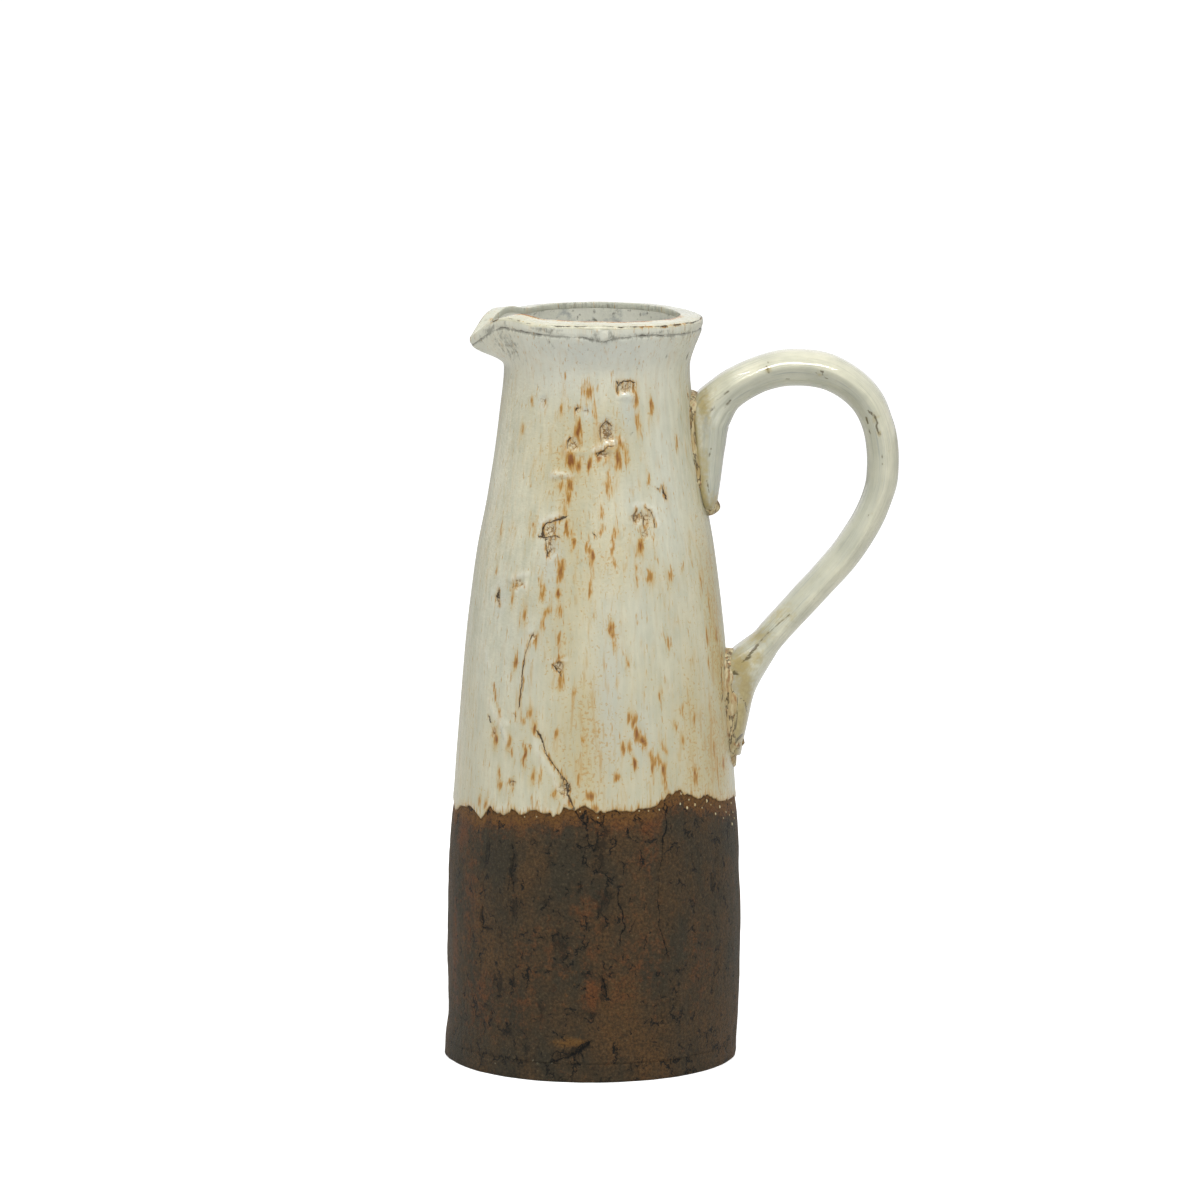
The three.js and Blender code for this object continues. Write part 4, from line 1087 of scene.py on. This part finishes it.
def glaze_rim(azimuth):
    """Rounded outer corner of the rim, its sloping top and its inner corner, from outside in: the
    radius, the height and the marks. Rust shows round the near part of the mouth, a thin broken
    line along the outer corner, a painted highlight along the top of the near part, and grey patches
    and a cool tint mostly on the far part."""
    angle = np.radians([10, 24, 38, 50, 60, 70, 80])
    corner_radius = RIM_RADIUS - RIM_EDGE + RIM_EDGE * np.cos(angle)
    corner_z = RIM_EDGE_HEIGHT + RIM_EDGE * np.sin(angle) * 0.98
    top_radius = np.concatenate([
        np.linspace(RIM_RADIUS - RIM_EDGE, MOUTH_RADIUS + 2, 8),
        MOUTH_RADIUS + np.array([1.5, 1.1, 0.8, 0.5]),
    ])
    inner = np.array([[0.2, -0.1], [0.02, -0.4], [-0.06, -1.2], [-0.02, -2.4], [0.4, -4.0]])
    inner = inner + [MOUTH_RADIUS, 0]
    radius = np.concatenate([corner_radius, top_radius, inner[:, 0]])[:, None]
    z = np.concatenate([corner_z, rim_top(top_radius), JUG_HEIGHT + inner[:, 1]])[:, None]
    points = upright_round(azimuth, radius, z)
    radius = radius + RIM_LAP_LUMP * lap_bump(azimuth) * (radius > LIP_RADIUS)
    z = z + RIM_WAVER * noise(points, 9, 31, 2)
    on_top = z > RIM_EDGE_HEIGHT
    corner_gap = radius - RIM_RADIUS + CORNER_LINE_INSET + 0.25 * noise(points, 5, 34, 2)
    corner = np.exp(-(corner_gap / CORNER_LINE_REACH) ** 2) * on_top
    corner_rust = corner * np.clip(1.3 * noise(points, 5, 35, 2), 0, 1)
    mouth_rust = 1.4 * np.exp(-((radius - MOUTH_RADIUS - 0.6) / 1.5) ** 2)
    mouth_rust = mouth_rust * eased(-0.2, 0.5, -np.sin(azimuth))
    mouth_rust = mouth_rust * np.clip(0.75 + noise(points, 9, 33, 2), 0.2, 1.1)
    # Painted highlight: a pale band along the top of the rim's near part
    crest = np.exp(-((radius - MOUTH_RADIUS - 4.0) / 2.0) ** 2) * on_top
    facing = eased(-0.3, 0.5, -np.sin(azimuth))
    patch = np.clip(0.1 + 0.7 * noise(points * [1, 1, 2], 12, 36, 3), 0, 0.38)
    return radius, z, {
        "line": corner * np.clip(0.5 + 1.1 * noise(points, 2.6, 32, 2), 0, 1.2),
        "side": np.where(on_top, corner_gap / CORNER_LINE_HALF_WIDTH, FAR_OFF),
        "rust": np.maximum(mouth_rust, corner_rust),
        "white": 0.15 * facing * crest,
        "smudge": patch * (1 - 0.6 * facing),
        "cool": 0.6 * (1 - facing),
    }


def glaze_back(azimuth, edge):
    """Inside of the coat, from the rim down to its lower edge: the radius, which stands in by the
    coat's depth, and the height. No one sees it, so it has few rows."""
    z = np.array([316.4, 316.8, 313, 308, 300, JOINT_HEIGHT, 270, 235, 200, 165, 135, 0])[:, None]
    radius = outer_radius(z) - BACK_DEPTH
    radius[:2, 0] = [MOUTH_RADIUS + 1.6, RIM_RADIUS - BACK_DEPTH]
    radius = radius + 0 * azimuth
    z = z + 0 * azimuth
    z[-1] = edge[0]
    radius[-1] = foot_clay(azimuth, edge)[0] - 0.6
    return radius, z


def outer_glaze(material):
    """The glaze coat: from a bead at its ragged lower edge up the wall, round the rim band and in
    to the mouth, and back inside one glaze thickness deeper."""
    azimuth = columns_round(FRONT_COLUMNS, BACK_COLUMNS)[None, :]
    edge = glaze_edge(azimuth[0])[None, :]
    near = np.array([0, 0.12, 0.35, 0.7, 1.1, 1.6, 2.3, 3.1])
    far = np.arange(4, JOINT_HEIGHT - GLAZE_LINE, 1.05)
    above = np.concatenate([near, far])[:, None]
    level = np.concatenate([
        np.arange(JOINT_HEIGHT, BAND_FOOT, 1.0), np.arange(BAND_FOOT, RIM_EDGE_HEIGHT, 0.36),
    ])[:, None]
    # The rows follow the ragged edge near it and lie level further up
    settle = 1 - eased(3, 45, above)
    wall_z = GLAZE_LINE + above + (edge - GLAZE_LINE) * settle
    band_z = np.broadcast_to(level, (len(level), azimuth.shape[1]))
    z = np.concatenate([wall_z, band_z])
    depth, marks = glaze_marks(np.broadcast_to(azimuth, z.shape), z)
    sunk, groove, groove_side = band_relief(azimuth, z)
    points = upright_round(azimuth, BELLY_RADIUS, z)
    soft = 0.18 * noise(points, 34, 21, 2) + 0.07 * noise(points * [1, 1, 0.25], 5, 22, 2)
    fade = 1 - eased(300, 312, z)
    radius = outer_radius(z) + soft * fade + depth + sunk
    # The bead at the lower edge sits on the clay
    height = np.clip((z - edge) / BEAD_REACH, 0, 1)
    bead = foot_clay(azimuth, z) + BEAD_HEIGHT * np.sqrt(1 - (1 - height) ** 2)
    blend = eased(1, 5, z - edge)
    radius = bead * (1 - blend) + radius * blend
    marks["line"] = np.maximum(marks["line"], 0.6 * np.exp(-(z - edge) / 0.9))
    # A dark line in the groove under the band: glaze pooled there, and painted shade under the band
    marks["line"] = np.maximum(marks["line"], 0.6 * groove)
    for side in (1.3 * groove_side, (z - edge) / EDGE_LINE_HALF_WIDTH):
        marks["side"] = np.where(np.abs(side) < np.abs(marks["side"]), side, marks["side"])
    foot = foot_of_band(azimuth)
    below = groove_side * GROOVE_HALF_WIDTH
    fringe = np.exp(-np.maximum(-below, 0) / FRINGE_LENGTH) * (below < 0)
    fringe = fringe * np.minimum(1.4 * groove + 0.5, 1)
    marks["smudge"] = np.maximum(marks["smudge"], 0.95 * fringe)
    # Painted light: the collar whitens towards the rim, and the band a little, as if more lit from above
    band = eased(foot, foot + 0.8, z)
    marks["white"] = np.maximum(marks["white"], 0.3 * eased(280, 304, z) + 0.05 * band)
    near_edge = np.exp(-(z - edge) / 2.2)
    marks["ochre"] = np.maximum(marks["ochre"], 1.1 * near_edge)
    marks["rust"] = np.maximum(marks["rust"], 0.5 * near_edge)

    rim_radius, rim_z, rim_marks = glaze_rim(azimuth)
    back_radius, back_z = glaze_back(azimuth, edge)
    grid = shaped(
        azimuth,
        np.concatenate([radius, rim_radius, back_radius]),
        np.concatenate([z, rim_z, back_z]),
    )
    back_marks = {"side": FAR_OFF}
    for key in GLAZE_MARKS:
        on_rim = np.broadcast_to(rim_marks.get(key, 0), rim_z.shape)
        behind = np.full(back_z.shape, back_marks.get(key, 0), float)
        marks[key] = np.concatenate([marks[key], on_rim, behind])
    piece = closed_mesh("outer_glaze", grid, marks)
    return finished(piece, material, "cream_glaze", "outer_glaze_coat")


def wall_clay(material):
    """The wall slab: bare and detailed from the base slab to the glaze, then under the glaze one
    coat deeper and sunk below its pits, and inside one wall thickness in."""
    azimuth = columns_round(FRONT_COLUMNS, BACK_COLUMNS)[None, :]
    bare = np.linspace(SLAB_THICKNESS + 0.05, GLAZE_LINE + 9, BARE_ROWS)[:, None]
    hidden = np.linspace(GLAZE_LINE + 12, JOINT_HEIGHT - GAP, HIDDEN_ROWS)[:, None]
    z = np.concatenate([bare, hidden]) + 0 * azimuth
    edge = glaze_edge(azimuth[0])[None, :]
    radius = foot_clay(azimuth, z)
    moved = warped(azimuth, z)
    line, side = lines(*moved, CLAY_CRACKS_PX)
    stain = blobs(*moved, STAINS_PX, 1.5)
    notch = np.clip(1 - np.abs(side) / 2, 0, 1)
    relief = -CLAY_CRACK_DEPTH * notch - STAIN_DEPTH * np.minimum(stain, 1)
    seam_azimuth, _ = on_body(*SEAM_PX)
    beside = wrapped(azimuth - seam_azimuth) * BELLY_RADIUS
    ridge = np.exp(-((beside - SEAM_WIDTH) / SEAM_WIDTH) ** 2) * (beside > 0)
    relief = relief + SEAM_RIDGE * ridge
    buried = eased(0.5, 3, z - edge)
    deep, _ = glaze_marks(np.broadcast_to(azimuth, z.shape), z)
    under = outer_radius(z) - SKIN + np.minimum(deep, 0) - UNDER_GLAZE_ROOM
    radius = (radius + relief) * (1 - buried) + under * buried
    slab_line, _ = lines(azimuth, z, [(4, 0.5, *SLAB_LINE_PX)])
    chip = blobs(azimuth, z, [(x, y, 1.2, size / 3, 1) for x, y, size in CHIPS_PX])
    # Darker towards the foot: the stain field, which brings out black patches, grows low on the wall and
    # covers the base slab
    darker_foot = FOOT_DARKENING * (1 - eased(SLAB_THICKNESS, SLAB_THICKNESS + 5, z))
    marks = {
        "line": line,
        "side": side,
        "stain": np.maximum(stain, darker_foot),
        "chip": np.maximum(slab_line, chip),
        "orange": np.maximum(blobs(*moved, ORANGE_PX, 1.3), 0.9 * np.exp(-((z - edge) / 8) ** 2)),
        "ochre": np.maximum(blobs(*moved, OCHRE_CLAY_PX, 1.2), 1.2 * np.exp(-((z - edge) / 6) ** 2)),
    }
    back_z = np.array([JOINT_HEIGHT + WALL_THICKNESS, 260, 220, 180, 140, 100, 60, 20, SLAB_THICKNESS])
    back_z = back_z[:, None] + 0 * azimuth
    back_radius = clay_radius(back_z) - WALL_THICKNESS
    grid = shaped(azimuth, np.concatenate([radius, back_radius]), np.concatenate([z, back_z]))
    marks = {key: np.concatenate([value, np.zeros(back_z.shape)]) for key, value in marks.items()}
    return finished(closed_mesh("wall_slab", grid, marks), material, "bare_clay", "body_wall")


def base_slab(material):
    """The disc under the wall, a profile turned round the axis: its lower corner is worn to a
    quarter circle, and its edge wavers and is chipped."""
    azimuth = columns_round(FRONT_COLUMNS, BACK_COLUMNS)[None, :]
    angle = np.radians(np.linspace(-90, 0, 6))
    worn = WORN_CORNER * np.stack([np.cos(angle) - 1, np.sin(angle) + 1], axis=-1)
    rows = np.concatenate([
        [[SLAB_RADIUS - 14, 0], [SLAB_RADIUS - 6, 0]],
        worn + [SLAB_RADIUS, 0],
        np.stack([np.full(7, SLAB_RADIUS), np.linspace(2.8, SLAB_THICKNESS - 0.1, 7)], axis=-1),
        [[SLAB_RADIUS - 0.1, SLAB_THICKNESS + 0.03], [SLAB_RADIUS - 3, SLAB_THICKNESS + 0.04],
         [SLAB_RADIUS - 12, SLAB_THICKNESS + 0.04]],
    ])
    radius, z = rows[:, :1] + 0 * azimuth, rows[:, 1:] + 0 * azimuth
    points = upright_round(azimuth, radius, z)
    side = eased(SLAB_RADIUS - WORN_CORNER, SLAB_RADIUS - 0.2, radius)
    low = 1 - eased(1, 5, z)
    radius = radius + side * (foot_uneven(azimuth, z) + 0.3 * low * noise(points, 5, 42, 2))
    grid = upright_round(azimuth, radius, z)
    chip = blobs(azimuth, z, [(x, y, 1.6, size / 2.4, 1) for x, y, size in CHIPS_PX])
    marks = {**dict.fromkeys(CLAY_MARKS, 0), "stain": FOOT_DARKENING, "chip": chip}
    piece = closed_mesh("base_disc", grid, marks, capped=True)
    return finished(piece, material, "bare_clay", "base_slab")


def hidden_rings(material):
    """Collar and rim band under the glaze, which they fill: rings between the clay's radius and
    the same less the wall, and between the glaze's inside and the lip."""
    azimuth = columns_round(HIDDEN_COLUMNS, HIDDEN_COLUMNS)[None, :]
    up = np.array([JOINT_HEIGHT + 0.5, 296, 301, 305, 308, BAND_FOOT, 314, 317, 318.3])[:, None]
    down = np.array([318.3, 314, BAND_FOOT, 305, 301, JOINT_HEIGHT + WALL_THICKNESS + 0.5])[:, None]
    radius = np.concatenate([clay_radius(up) - 0.2, clay_radius(down) - WALL_THICKNESS]) + 0 * azimuth
    grid = shaped(azimuth, radius, np.concatenate([up, down]) + 0 * azimuth)
    empty = dict.fromkeys(CLAY_MARKS, 0)
    finished(closed_mesh("collar_strip", grid, empty), material, "bare_clay", "neck_collar")
    outer = np.array([BAND_FOOT, 313, 315, 317, 318])[:, None]
    inner = outer[::-1]
    lip = np.full(inner.shape, LIP_RADIUS + GAP / 2)
    radius = np.concatenate([outer_radius(outer) - SKIN - 0.4, lip])
    grid = shaped(azimuth, radius + 0 * azimuth, np.concatenate([outer, inner]) + 0 * azimuth)
    finished(closed_mesh("rim_strip", grid, empty), material, "bare_clay", "rim_band")


def inner_liner(material):
    """The glaze inside, a profile turned round the axis: floor, quarter circle over the coil and
    wall up to the lip, once at the clay and once a coat further in."""
    azimuth = columns_round(HIDDEN_COLUMNS * 3 // 2, HIDDEN_COLUMNS)[None, :]
    reach = clay_radius(np.array(SLAB_THICKNESS)) - WALL_THICKNESS - GAP
    angle = np.radians(np.linspace(0, 90, 9))
    size = COIL_SIZE - SKIN

    def side(offset, levels):
        cove = np.stack([reach - COIL_SIZE + (COIL_SIZE - offset) * np.sin(angle),
                         SLAB_THICKNESS + COIL_SIZE - (COIL_SIZE - offset) * np.cos(angle)], axis=-1)
        wall = np.stack([clay_radius(levels) - WALL_THICKNESS - offset, levels], axis=-1)
        return np.concatenate([[[12, cove[0, 1]], [34, cove[0, 1]]], cove, wall])

    outer = side(GAP, np.array([30, 70, 120, 170, 220, 260, 290, 305, 312, 317.5]))
    fine = np.concatenate([np.arange(26, 280, 9), np.arange(282, 317, 1.1), [317.6, 318.5]])
    inner = side(SKIN, fine)[::-1]
    rows = np.concatenate([outer, inner])
    radius, z = rows[:, :1] + 0 * azimuth, rows[:, 1:] + 0 * azimuth
    points = upright_round(azimuth, radius, z)
    seen = (np.arange(len(rows)) >= len(outer))[:, None]
    settled = (1 - eased(300, 315, z)) * (radius > size * 3)
    radius = radius + seen * (0.25 * noise(points, 11, 51, 3) * settled + 0.08)
    grid = shaped(azimuth, radius, z)
    piece = closed_mesh("inner_glaze", grid, capped=True)
    return finished(piece, material, "cream_glaze", "inner_glaze_liner")


# Handle

def strap_path(count):
    """Points of the centreline at equal steps, their directions, and the length so far: a smooth
    curve through points that stand off the wall by shares of the span."""
    z = HANDLE_FOOT + HANDLE_SHARES[:, 0] * (HANDLE_TOP - HANDLE_FOOT)
    x = outer_radius(z) + axis_at(z) + HANDLE_SHARES[:, 1] * HANDLE_SPAN
    knots = np.stack([x, z], axis=-1)
    steps = np.sqrt(np.hypot(*np.diff(knots, axis=0).T))
    places = np.concatenate([[0], np.cumsum(steps)])
    fine = interpolated(places, knots, np.linspace(0, places[-1], PATH_STEPS))
    length = np.concatenate([[0], np.cumsum(np.hypot(*np.diff(fine, axis=0).T))])
    at = np.linspace(0, length[-1], count)
    points = np.stack([np.interp(at, length, fine[:, 0]), np.interp(at, length, fine[:, 1])], axis=-1)
    along = np.gradient(points, axis=0)
    along /= np.hypot(*along.T)[:, None]
    return points, along, at


def strap_sheet(growth, count, sides, detailed):
    """The strap's skin: at each point of the path a section whose two half axes are the strap's
    half thickness and half width. Towards both tips it thins out and widens, at the upper bend it
    swells, and its inner side swells round the highest point. Both tips are rounded like a tongue.
    Each narrow side comes to a ridge. At the roots the strap is draped: its height over the wall
    grows evenly from the side at the wall to the other, and its width is laid round the wall."""
    points, along, at = strap_path(count)
    across = np.stack([along[:, 1], -along[:, 0]], axis=-1)
    from_foot = at[-1] - at
    rooted = np.maximum(np.maximum(1 - at / UPPER_TAIL, 1 - from_foot / LOWER_TAIL), 0)
    even = STRAP_THICKNESS + (STRAP_LOW_THICKNESS - STRAP_THICKNESS) * at / at[-1]
    bent = np.maximum(1 - np.abs(at - UPPER_TAIL) / BEND_LENGTH, 0)
    thick = even + (STRAP_BEND_THICKNESS - even) * bent
    half_thick = ((thick + (STRAP_TIP_THICKNESS - thick) * rooted) / 2 + growth)[:, None]
    half_wide = ((STRAP_WIDTH + (STRAP_ROOT_WIDTH - STRAP_WIDTH) * rooted) / 2 + growth)[:, None]
    to_tip = np.minimum(np.minimum(at, from_foot) / TIP_ROUNDING, 1)
    half_wide = half_wide * (0.5 + 0.5 * np.sqrt(1 - (1 - to_tip) ** 2))[:, None]
    draped = np.maximum(1 - eased(*UPPER_DRAPE, at), 1 - eased(*LOWER_DRAPE, from_foot))[:, None]
    angle = 2 * math.pi * np.arange(sides)[None, :] / sides + math.pi / 2
    away = np.where(at < at[-1] / 2, 1, -1)[:, None]
    to_wall = away * np.cos(angle) < 0
    square = STRAP_SQUARENESS + (ROOT_SQUARENESS - STRAP_SQUARENESS) * draped * to_wall
    out, aside = powered(np.cos(angle), square), powered(np.sin(angle), square)
    aside = aside * (1 - STRAP_RIDGE * (1 - draped) * np.sqrt((out - RIDGE_PLACE) ** 2 + 0.002))
    from_top = at - at[np.argmax(points[:, 1])]
    swell = APEX_SWELL * np.exp(-(from_top / APEX_REACH) ** 2)[:, None] * np.maximum(out, 0)
    x = points[:, :1] + across[:, :1] * (out * half_thick + swell)
    z = points[:, 1:] + across[:, 1:] * (out * half_thick + swell)
    y = aside * half_wide
    stand = points[:, :1] - axis_at(points[:, 1:]) - outer_radius(points[:, 1:])
    sunk = -SKIN - CORE_SUNK if growth < SKIN else -SLEEVE_SUNK
    height = sunk + (away * out + 1) / 2 * (stand + half_thick - sunk)
    wall = outer_radius(z)
    turn = y / (wall + 3)
    x = x + draped * ((wall + height) * np.cos(turn) + axis_at(z) - x)
    y = y + draped * ((wall + height) * np.sin(turn) - y)
    if detailed:
        places = np.stack(np.broadcast_arrays(x, y, z), axis=-1)
        push = 0.28 * noise(places, 15, 61, 2) - groove_field(at, out, aside)
        x = x + across[:, :1] * out * push
        z = z + across[:, 1:] * out * push
        y = y + aside * push
    centre = axis_at(z)
    gone = np.hypot(x - centre, y)
    limit = np.maximum(gone, outer_radius(z) + sunk)
    x = centre + (x - centre) * limit / gone
    y = y * limit / gone
    # The lower, inner facet, which the strap's glaze greys as painted shade
    under = eased(RIDGE_PLACE - 0.1, RIDGE_PLACE + 0.35, out + 0 * half_thick)
    return np.stack([x, y, z], axis=-1), at, np.broadcast_to(angle, x.shape), under


def groove_field(at, out, aside):
    """Parallel grooves that the fingers left on the near side beside the upper root, fading out
    along the strap."""
    past_tail = at - UPPER_TAIL
    fade = eased(*GROOVES_BEGIN, past_tail) * (1 - eased(*GROOVES_END, past_tail))
    near = np.maximum(-aside, 0)
    waves = np.cos(out * 8.5 + 0.6) ** 4
    return FINGER_GROOVE_DEPTH * fade[:, None] * near * waves


def handle_pieces(glaze, clay):
    """The strap of clay and the sleeve of glaze round it, which has a thickness."""
    core, _, _, _ = strap_sheet(0.0, CORE_STEPS, CORE_SIDES, False)
    empty = dict.fromkeys(CLAY_MARKS, 0)
    finished(closed_mesh("strap_clay", core, empty, capped=True), clay, "bare_clay", "handle_strap")
    outer, at, angle, under = strap_sheet(SKIN, STRAP_STEPS, STRAP_SIDES, True)
    inner, _, _, _ = strap_sheet(GAP / 2, STRAP_STEPS, STRAP_SIDES, False)
    girth = np.degrees(angle) * GIRTH_PER_DEGREE
    grid = np.concatenate([outer, inner[::-1]])
    along = np.concatenate([at, at[::-1]])[:, None]
    across = np.concatenate([girth, girth[::-1]])
    crack = handle_lines(outer)
    zero = np.zeros(inner.shape[:2])
    x, y, z = outer[..., 0], outer[..., 1], outer[..., 2]
    stand = np.hypot(x - axis_at(z), y) - outer_radius(z)
    # Ochre towards both tips, and wherever the strap lies close to the wall
    tan = 0.8 * eased(at[-1] - 40, at[-1] - 6, at)[:, None] + 0.7 * (1 - eased(0, 8, at))[:, None]
    tan = np.maximum(tan, 0.75 * (1 - eased(1, 5, stand)))
    tan = np.maximum(tan, seen_blobs(outer, HANDLE_TAN_PX))
    tan, crack, under = (np.concatenate([field, zero]) for field in (tan, crack, under))
    marks = dict(zip(STRAP_MARKS, (along, across, under, tan, crack)))
    piece = closed_mesh("strap_glaze", grid, marks)
    return finished(piece, glaze, "cream_glaze", "handle_glaze_coat")


def seen_at(points):
    """Pixels across and down at which the camera sees points."""
    x = points[..., 0] - CAMERA_SIDE
    y = points[..., 1] + CAMERA_DISTANCE
    z = points[..., 2] - CAMERA_HEIGHT
    depth = y * math.cos(CAMERA_PITCH) - z * math.sin(CAMERA_PITCH)
    up = z * math.cos(CAMERA_PITCH) + y * math.sin(CAMERA_PITCH)
    return IMAGE_SIZE / 2 + FOCAL_PIXELS * x / depth, IMAGE_SIZE / 2 - FOCAL_PIXELS * up / depth


def seen_blobs(points, table):
    """Bell curves round pixels of the photograph, on the near side of the strap."""
    across, down = seen_at(points)
    field = np.zeros(across.shape)
    for x, y, half_width, half_height, strength in table:
        reach = ((across - x) / half_width) ** 2 + ((down - y) / half_height) ** 2
        field = np.maximum(field, strength * np.exp(-reach))
    return field * (points[..., 1] < 0)


def handle_lines(points):
    """Nearness to the thin cracks of the strap, measured in the camera's own picture."""
    across, down = seen_at(points)
    field = np.zeros(across.shape)
    for width, strength, *places in HANDLE_CRACKS_PX:
        for (x0, y0), (x1, y1) in zip(places, places[1:]):
            distance = from_line(across - x0, down - y0, x1 - x0, y1 - y0)
            widths_off = distance / PIXELS_PER_MM / (width / 10)
            field = np.maximum(field, strength * np.clip(1 - widths_off, 0, 1))
    return field * (points[..., 1] < 0)


def luting_pad(name, low, high, half_width, toe, rise, crotch, material, cad_node, seed):
    """Clay squeezed out round a root: a mound on the wall that fills the crotch, flat under the
    strap, steep and lumpy round its edge, that follows a rounded rectangle and closes just under
    the glaze."""
    angle = 2 * math.pi * np.arange(PAD_COLUMNS)[None, :] / PAD_COLUMNS
    around = powered(np.cos(angle), PAD_SQUARENESS)
    upward = powered(np.sin(angle), PAD_SQUARENESS)
    share = PAD_SHARES[:, None]
    in_border = np.clip(share - (1 - PAD_BORDER), 0, 1) / PAD_BORDER
    height = np.sqrt(np.clip(1 - in_border ** 2, 0, 1))
    both = np.concatenate([share, share[::-1]])
    middle, half_height = (low + high) / 2, (high - low) / 2
    z = middle + half_height * upward * both
    girth = half_width * around * both
    places = np.stack(np.broadcast_arrays(girth, z, 0 * z), axis=-1)
    girth = girth + 0.7 * noise(places, 5, seed + 1, 2) * both ** 4
    z = z + 0.9 * noise(places, 7, seed + 3, 2) * both ** 4
    top_z = z[:len(share)]
    filled = toe + (rise - toe) * eased(low + 5, low + 12, top_z)
    filled = filled + (crotch - rise) * eased(high - 14, high - 4, top_z)
    top = height * filled * (1 + 0.32 * noise(places[:len(share)] * [1.4, 0.4, 1], 3.6, seed, 3))
    over = np.concatenate([top, np.full(top.shape, -0.7)])
    over[len(share) - 1] = -0.2
    radius = outer_radius(z)
    grid = shaped(girth / (radius + 2), radius + over, z)
    piece = closed_mesh(name, grid[::-1], capped=True)
    return finished(piece, material, "luting_clay", cad_node)


def glaze_drops(material):
    """Small domes of glaze on the bare clay below the ragged edge: rings round a point, each
    drawn out upwards, whose width and height follow the cosine and the sine of a tilt."""
    turn = 2 * math.pi * np.arange(DROP_SIDES) / DROP_SIDES
    tilt = np.radians(np.linspace(-20, 80, DROP_RINGS))
    creamy = {**dict.fromkeys(GLAZE_MARKS, 0), "ochre": 1.3}
    for number, (x, y, tenths) in enumerate(DROPS_PX):
        azimuth, z = on_body(x, y)
        size = tenths / 10 / (2 * DROP_STRETCH)
        ring = np.cos(tilt)[:, None] * size
        place_azimuth = azimuth + ring * np.cos(turn) / BELLY_RADIUS
        place_z = z + DROP_STRETCH * ring * np.sin(turn)
        radius = foot_clay(place_azimuth, place_z) + DROP_HEIGHT * size * np.sin(tilt)[:, None]
        grid = shaped(place_azimuth, radius, place_z)
        piece = closed_mesh(f"glaze_drop_{number + 1}", grid, creamy, capped=True)
        finished(piece, material, "cream_glaze")


# Camera, light and floor

def studio():
    """The fitted camera, white surroundings, two large soft lamps and a pale floor."""
    camera_data = bpy.data.cameras.new("camera")
    camera_data.sensor_width = SENSOR
    camera_data.lens = SENSOR * FOCAL_PIXELS / IMAGE_SIZE
    camera_data.clip_end = 50
    camera = bpy.data.objects.new("camera", camera_data)
    camera.location = [CAMERA_SIDE * MM, -CAMERA_DISTANCE * MM, CAMERA_HEIGHT * MM]
    camera.rotation_euler = [math.pi / 2 - CAMERA_PITCH, 0, 0]
    bpy.context.scene.collection.objects.link(camera)
    bpy.context.scene.camera = camera

    world = bpy.data.worlds.new("studio")
    bpy.context.scene.world = world
    world.use_nodes = True
    tree = world.node_tree
    tree.nodes.clear()
    seen = node(tree, "ShaderNodeLightPath", output=0)
    glossy = node(tree, "ShaderNodeLightPath", output=3)
    aim = node(tree, "ShaderNodeTexCoord", output=0)
    forward = node(tree, "ShaderNodeSeparateXYZ", {}, {0: aim}, 1)
    # Shiny places see the white surroundings dimmed towards the camera's side
    beside = node(tree, RAMP, {}, {"Value": forward, "From Min": -0.9, "From Max": 0.3, "To Min": 0.2})
    level = node(tree, "ShaderNodeMix", {}, {"Factor": glossy, "A": SOFT_LIGHT, "B": beside})
    level = node(tree, "ShaderNodeMix", {}, {"Factor": seen, "A": level, "B": 1.0})
    light = node(tree, "ShaderNodeBackground", {}, {"Color": (1, 1, 1, 1), "Strength": level})
    world_out = tree.nodes.new("ShaderNodeOutputWorld")
    tree.links.new(light, world_out.inputs["Surface"])

    for name, place, turned, size, power in (
        ("top lamp", (-0.02, -0.62, 1.7), (22, 0, 0), (2.0, 0.2), 27),
        ("front lamp", (0.3, -2.0, 1.0), (68, 0, 8), (1.0, 1.0), 4.5),
    ):
        lamp = bpy.data.lights.new(name, "AREA")
        lamp.energy = power
        lamp.shape = "RECTANGLE"
        lamp.size, lamp.size_y = size
        held = bpy.data.objects.new(name, lamp)
        held.location = place
        held.rotation_euler = [math.radians(angle) for angle in turned]
        bpy.context.scene.collection.objects.link(held)

    half = 12.0
    mesh = bpy.data.meshes.new("floor")
    corners = [(-half, -half, 0), (half, -half, 0), (half, half, 0), (-half, half, 0)]
    mesh.from_pydata(corners, [], [(0, 1, 2, 3)])
    floor = bpy.data.objects.new("floor", mesh)
    bpy.context.scene.collection.objects.link(floor)
    material, tree, _ = started("pale studio paper")
    seen = node(tree, "ShaderNodeLightPath", output=0)
    shine = node(tree, MATH, MULTIPLY, {0: seen, 1: 0.65})
    paper = {"Base Color": linear("#e8e8e6"), "Roughness": 0.9, "Emission Color": (1, 1, 1, 1)}
    shader = node(tree, "ShaderNodeBsdfPrincipled", {}, {**paper, "Emission Strength": shine})
    floor_out = tree.nodes.new("ShaderNodeOutputMaterial")
    tree.links.new(shader, floor_out.inputs["Surface"])
    mesh.materials.append(material)


body_glaze = cream_glaze()
strap_glaze = handle_glaze()
liner_glaze = inner_glaze()
dark_clay = bare_clay()
tan_clay = luting_clay()

outer_glaze(body_glaze)
wall_clay(dark_clay)
base_slab(dark_clay)
hidden_rings(dark_clay)
inner_liner(liner_glaze)
handle_pieces(strap_glaze, dark_clay)
luting_pad("upper_luting", low=234, high=287, half_width=14.6, toe=4.6, rise=1.5, crotch=4.0,
           material=tan_clay, cad_node="upper_handle_luting", seed=71)
luting_pad("lower_luting", low=125, high=177, half_width=15.5, toe=1.2, rise=4.0, crotch=6.0,
           material=tan_clay, cad_node="lower_handle_luting", seed=81)
glaze_drops(body_glaze)
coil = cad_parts["floor_seam_coil"]
coil.data.materials.clear()
coil.data.materials.append(dark_clay)
studio()

bpy.context.scene.view_settings.view_transform = "Standard"
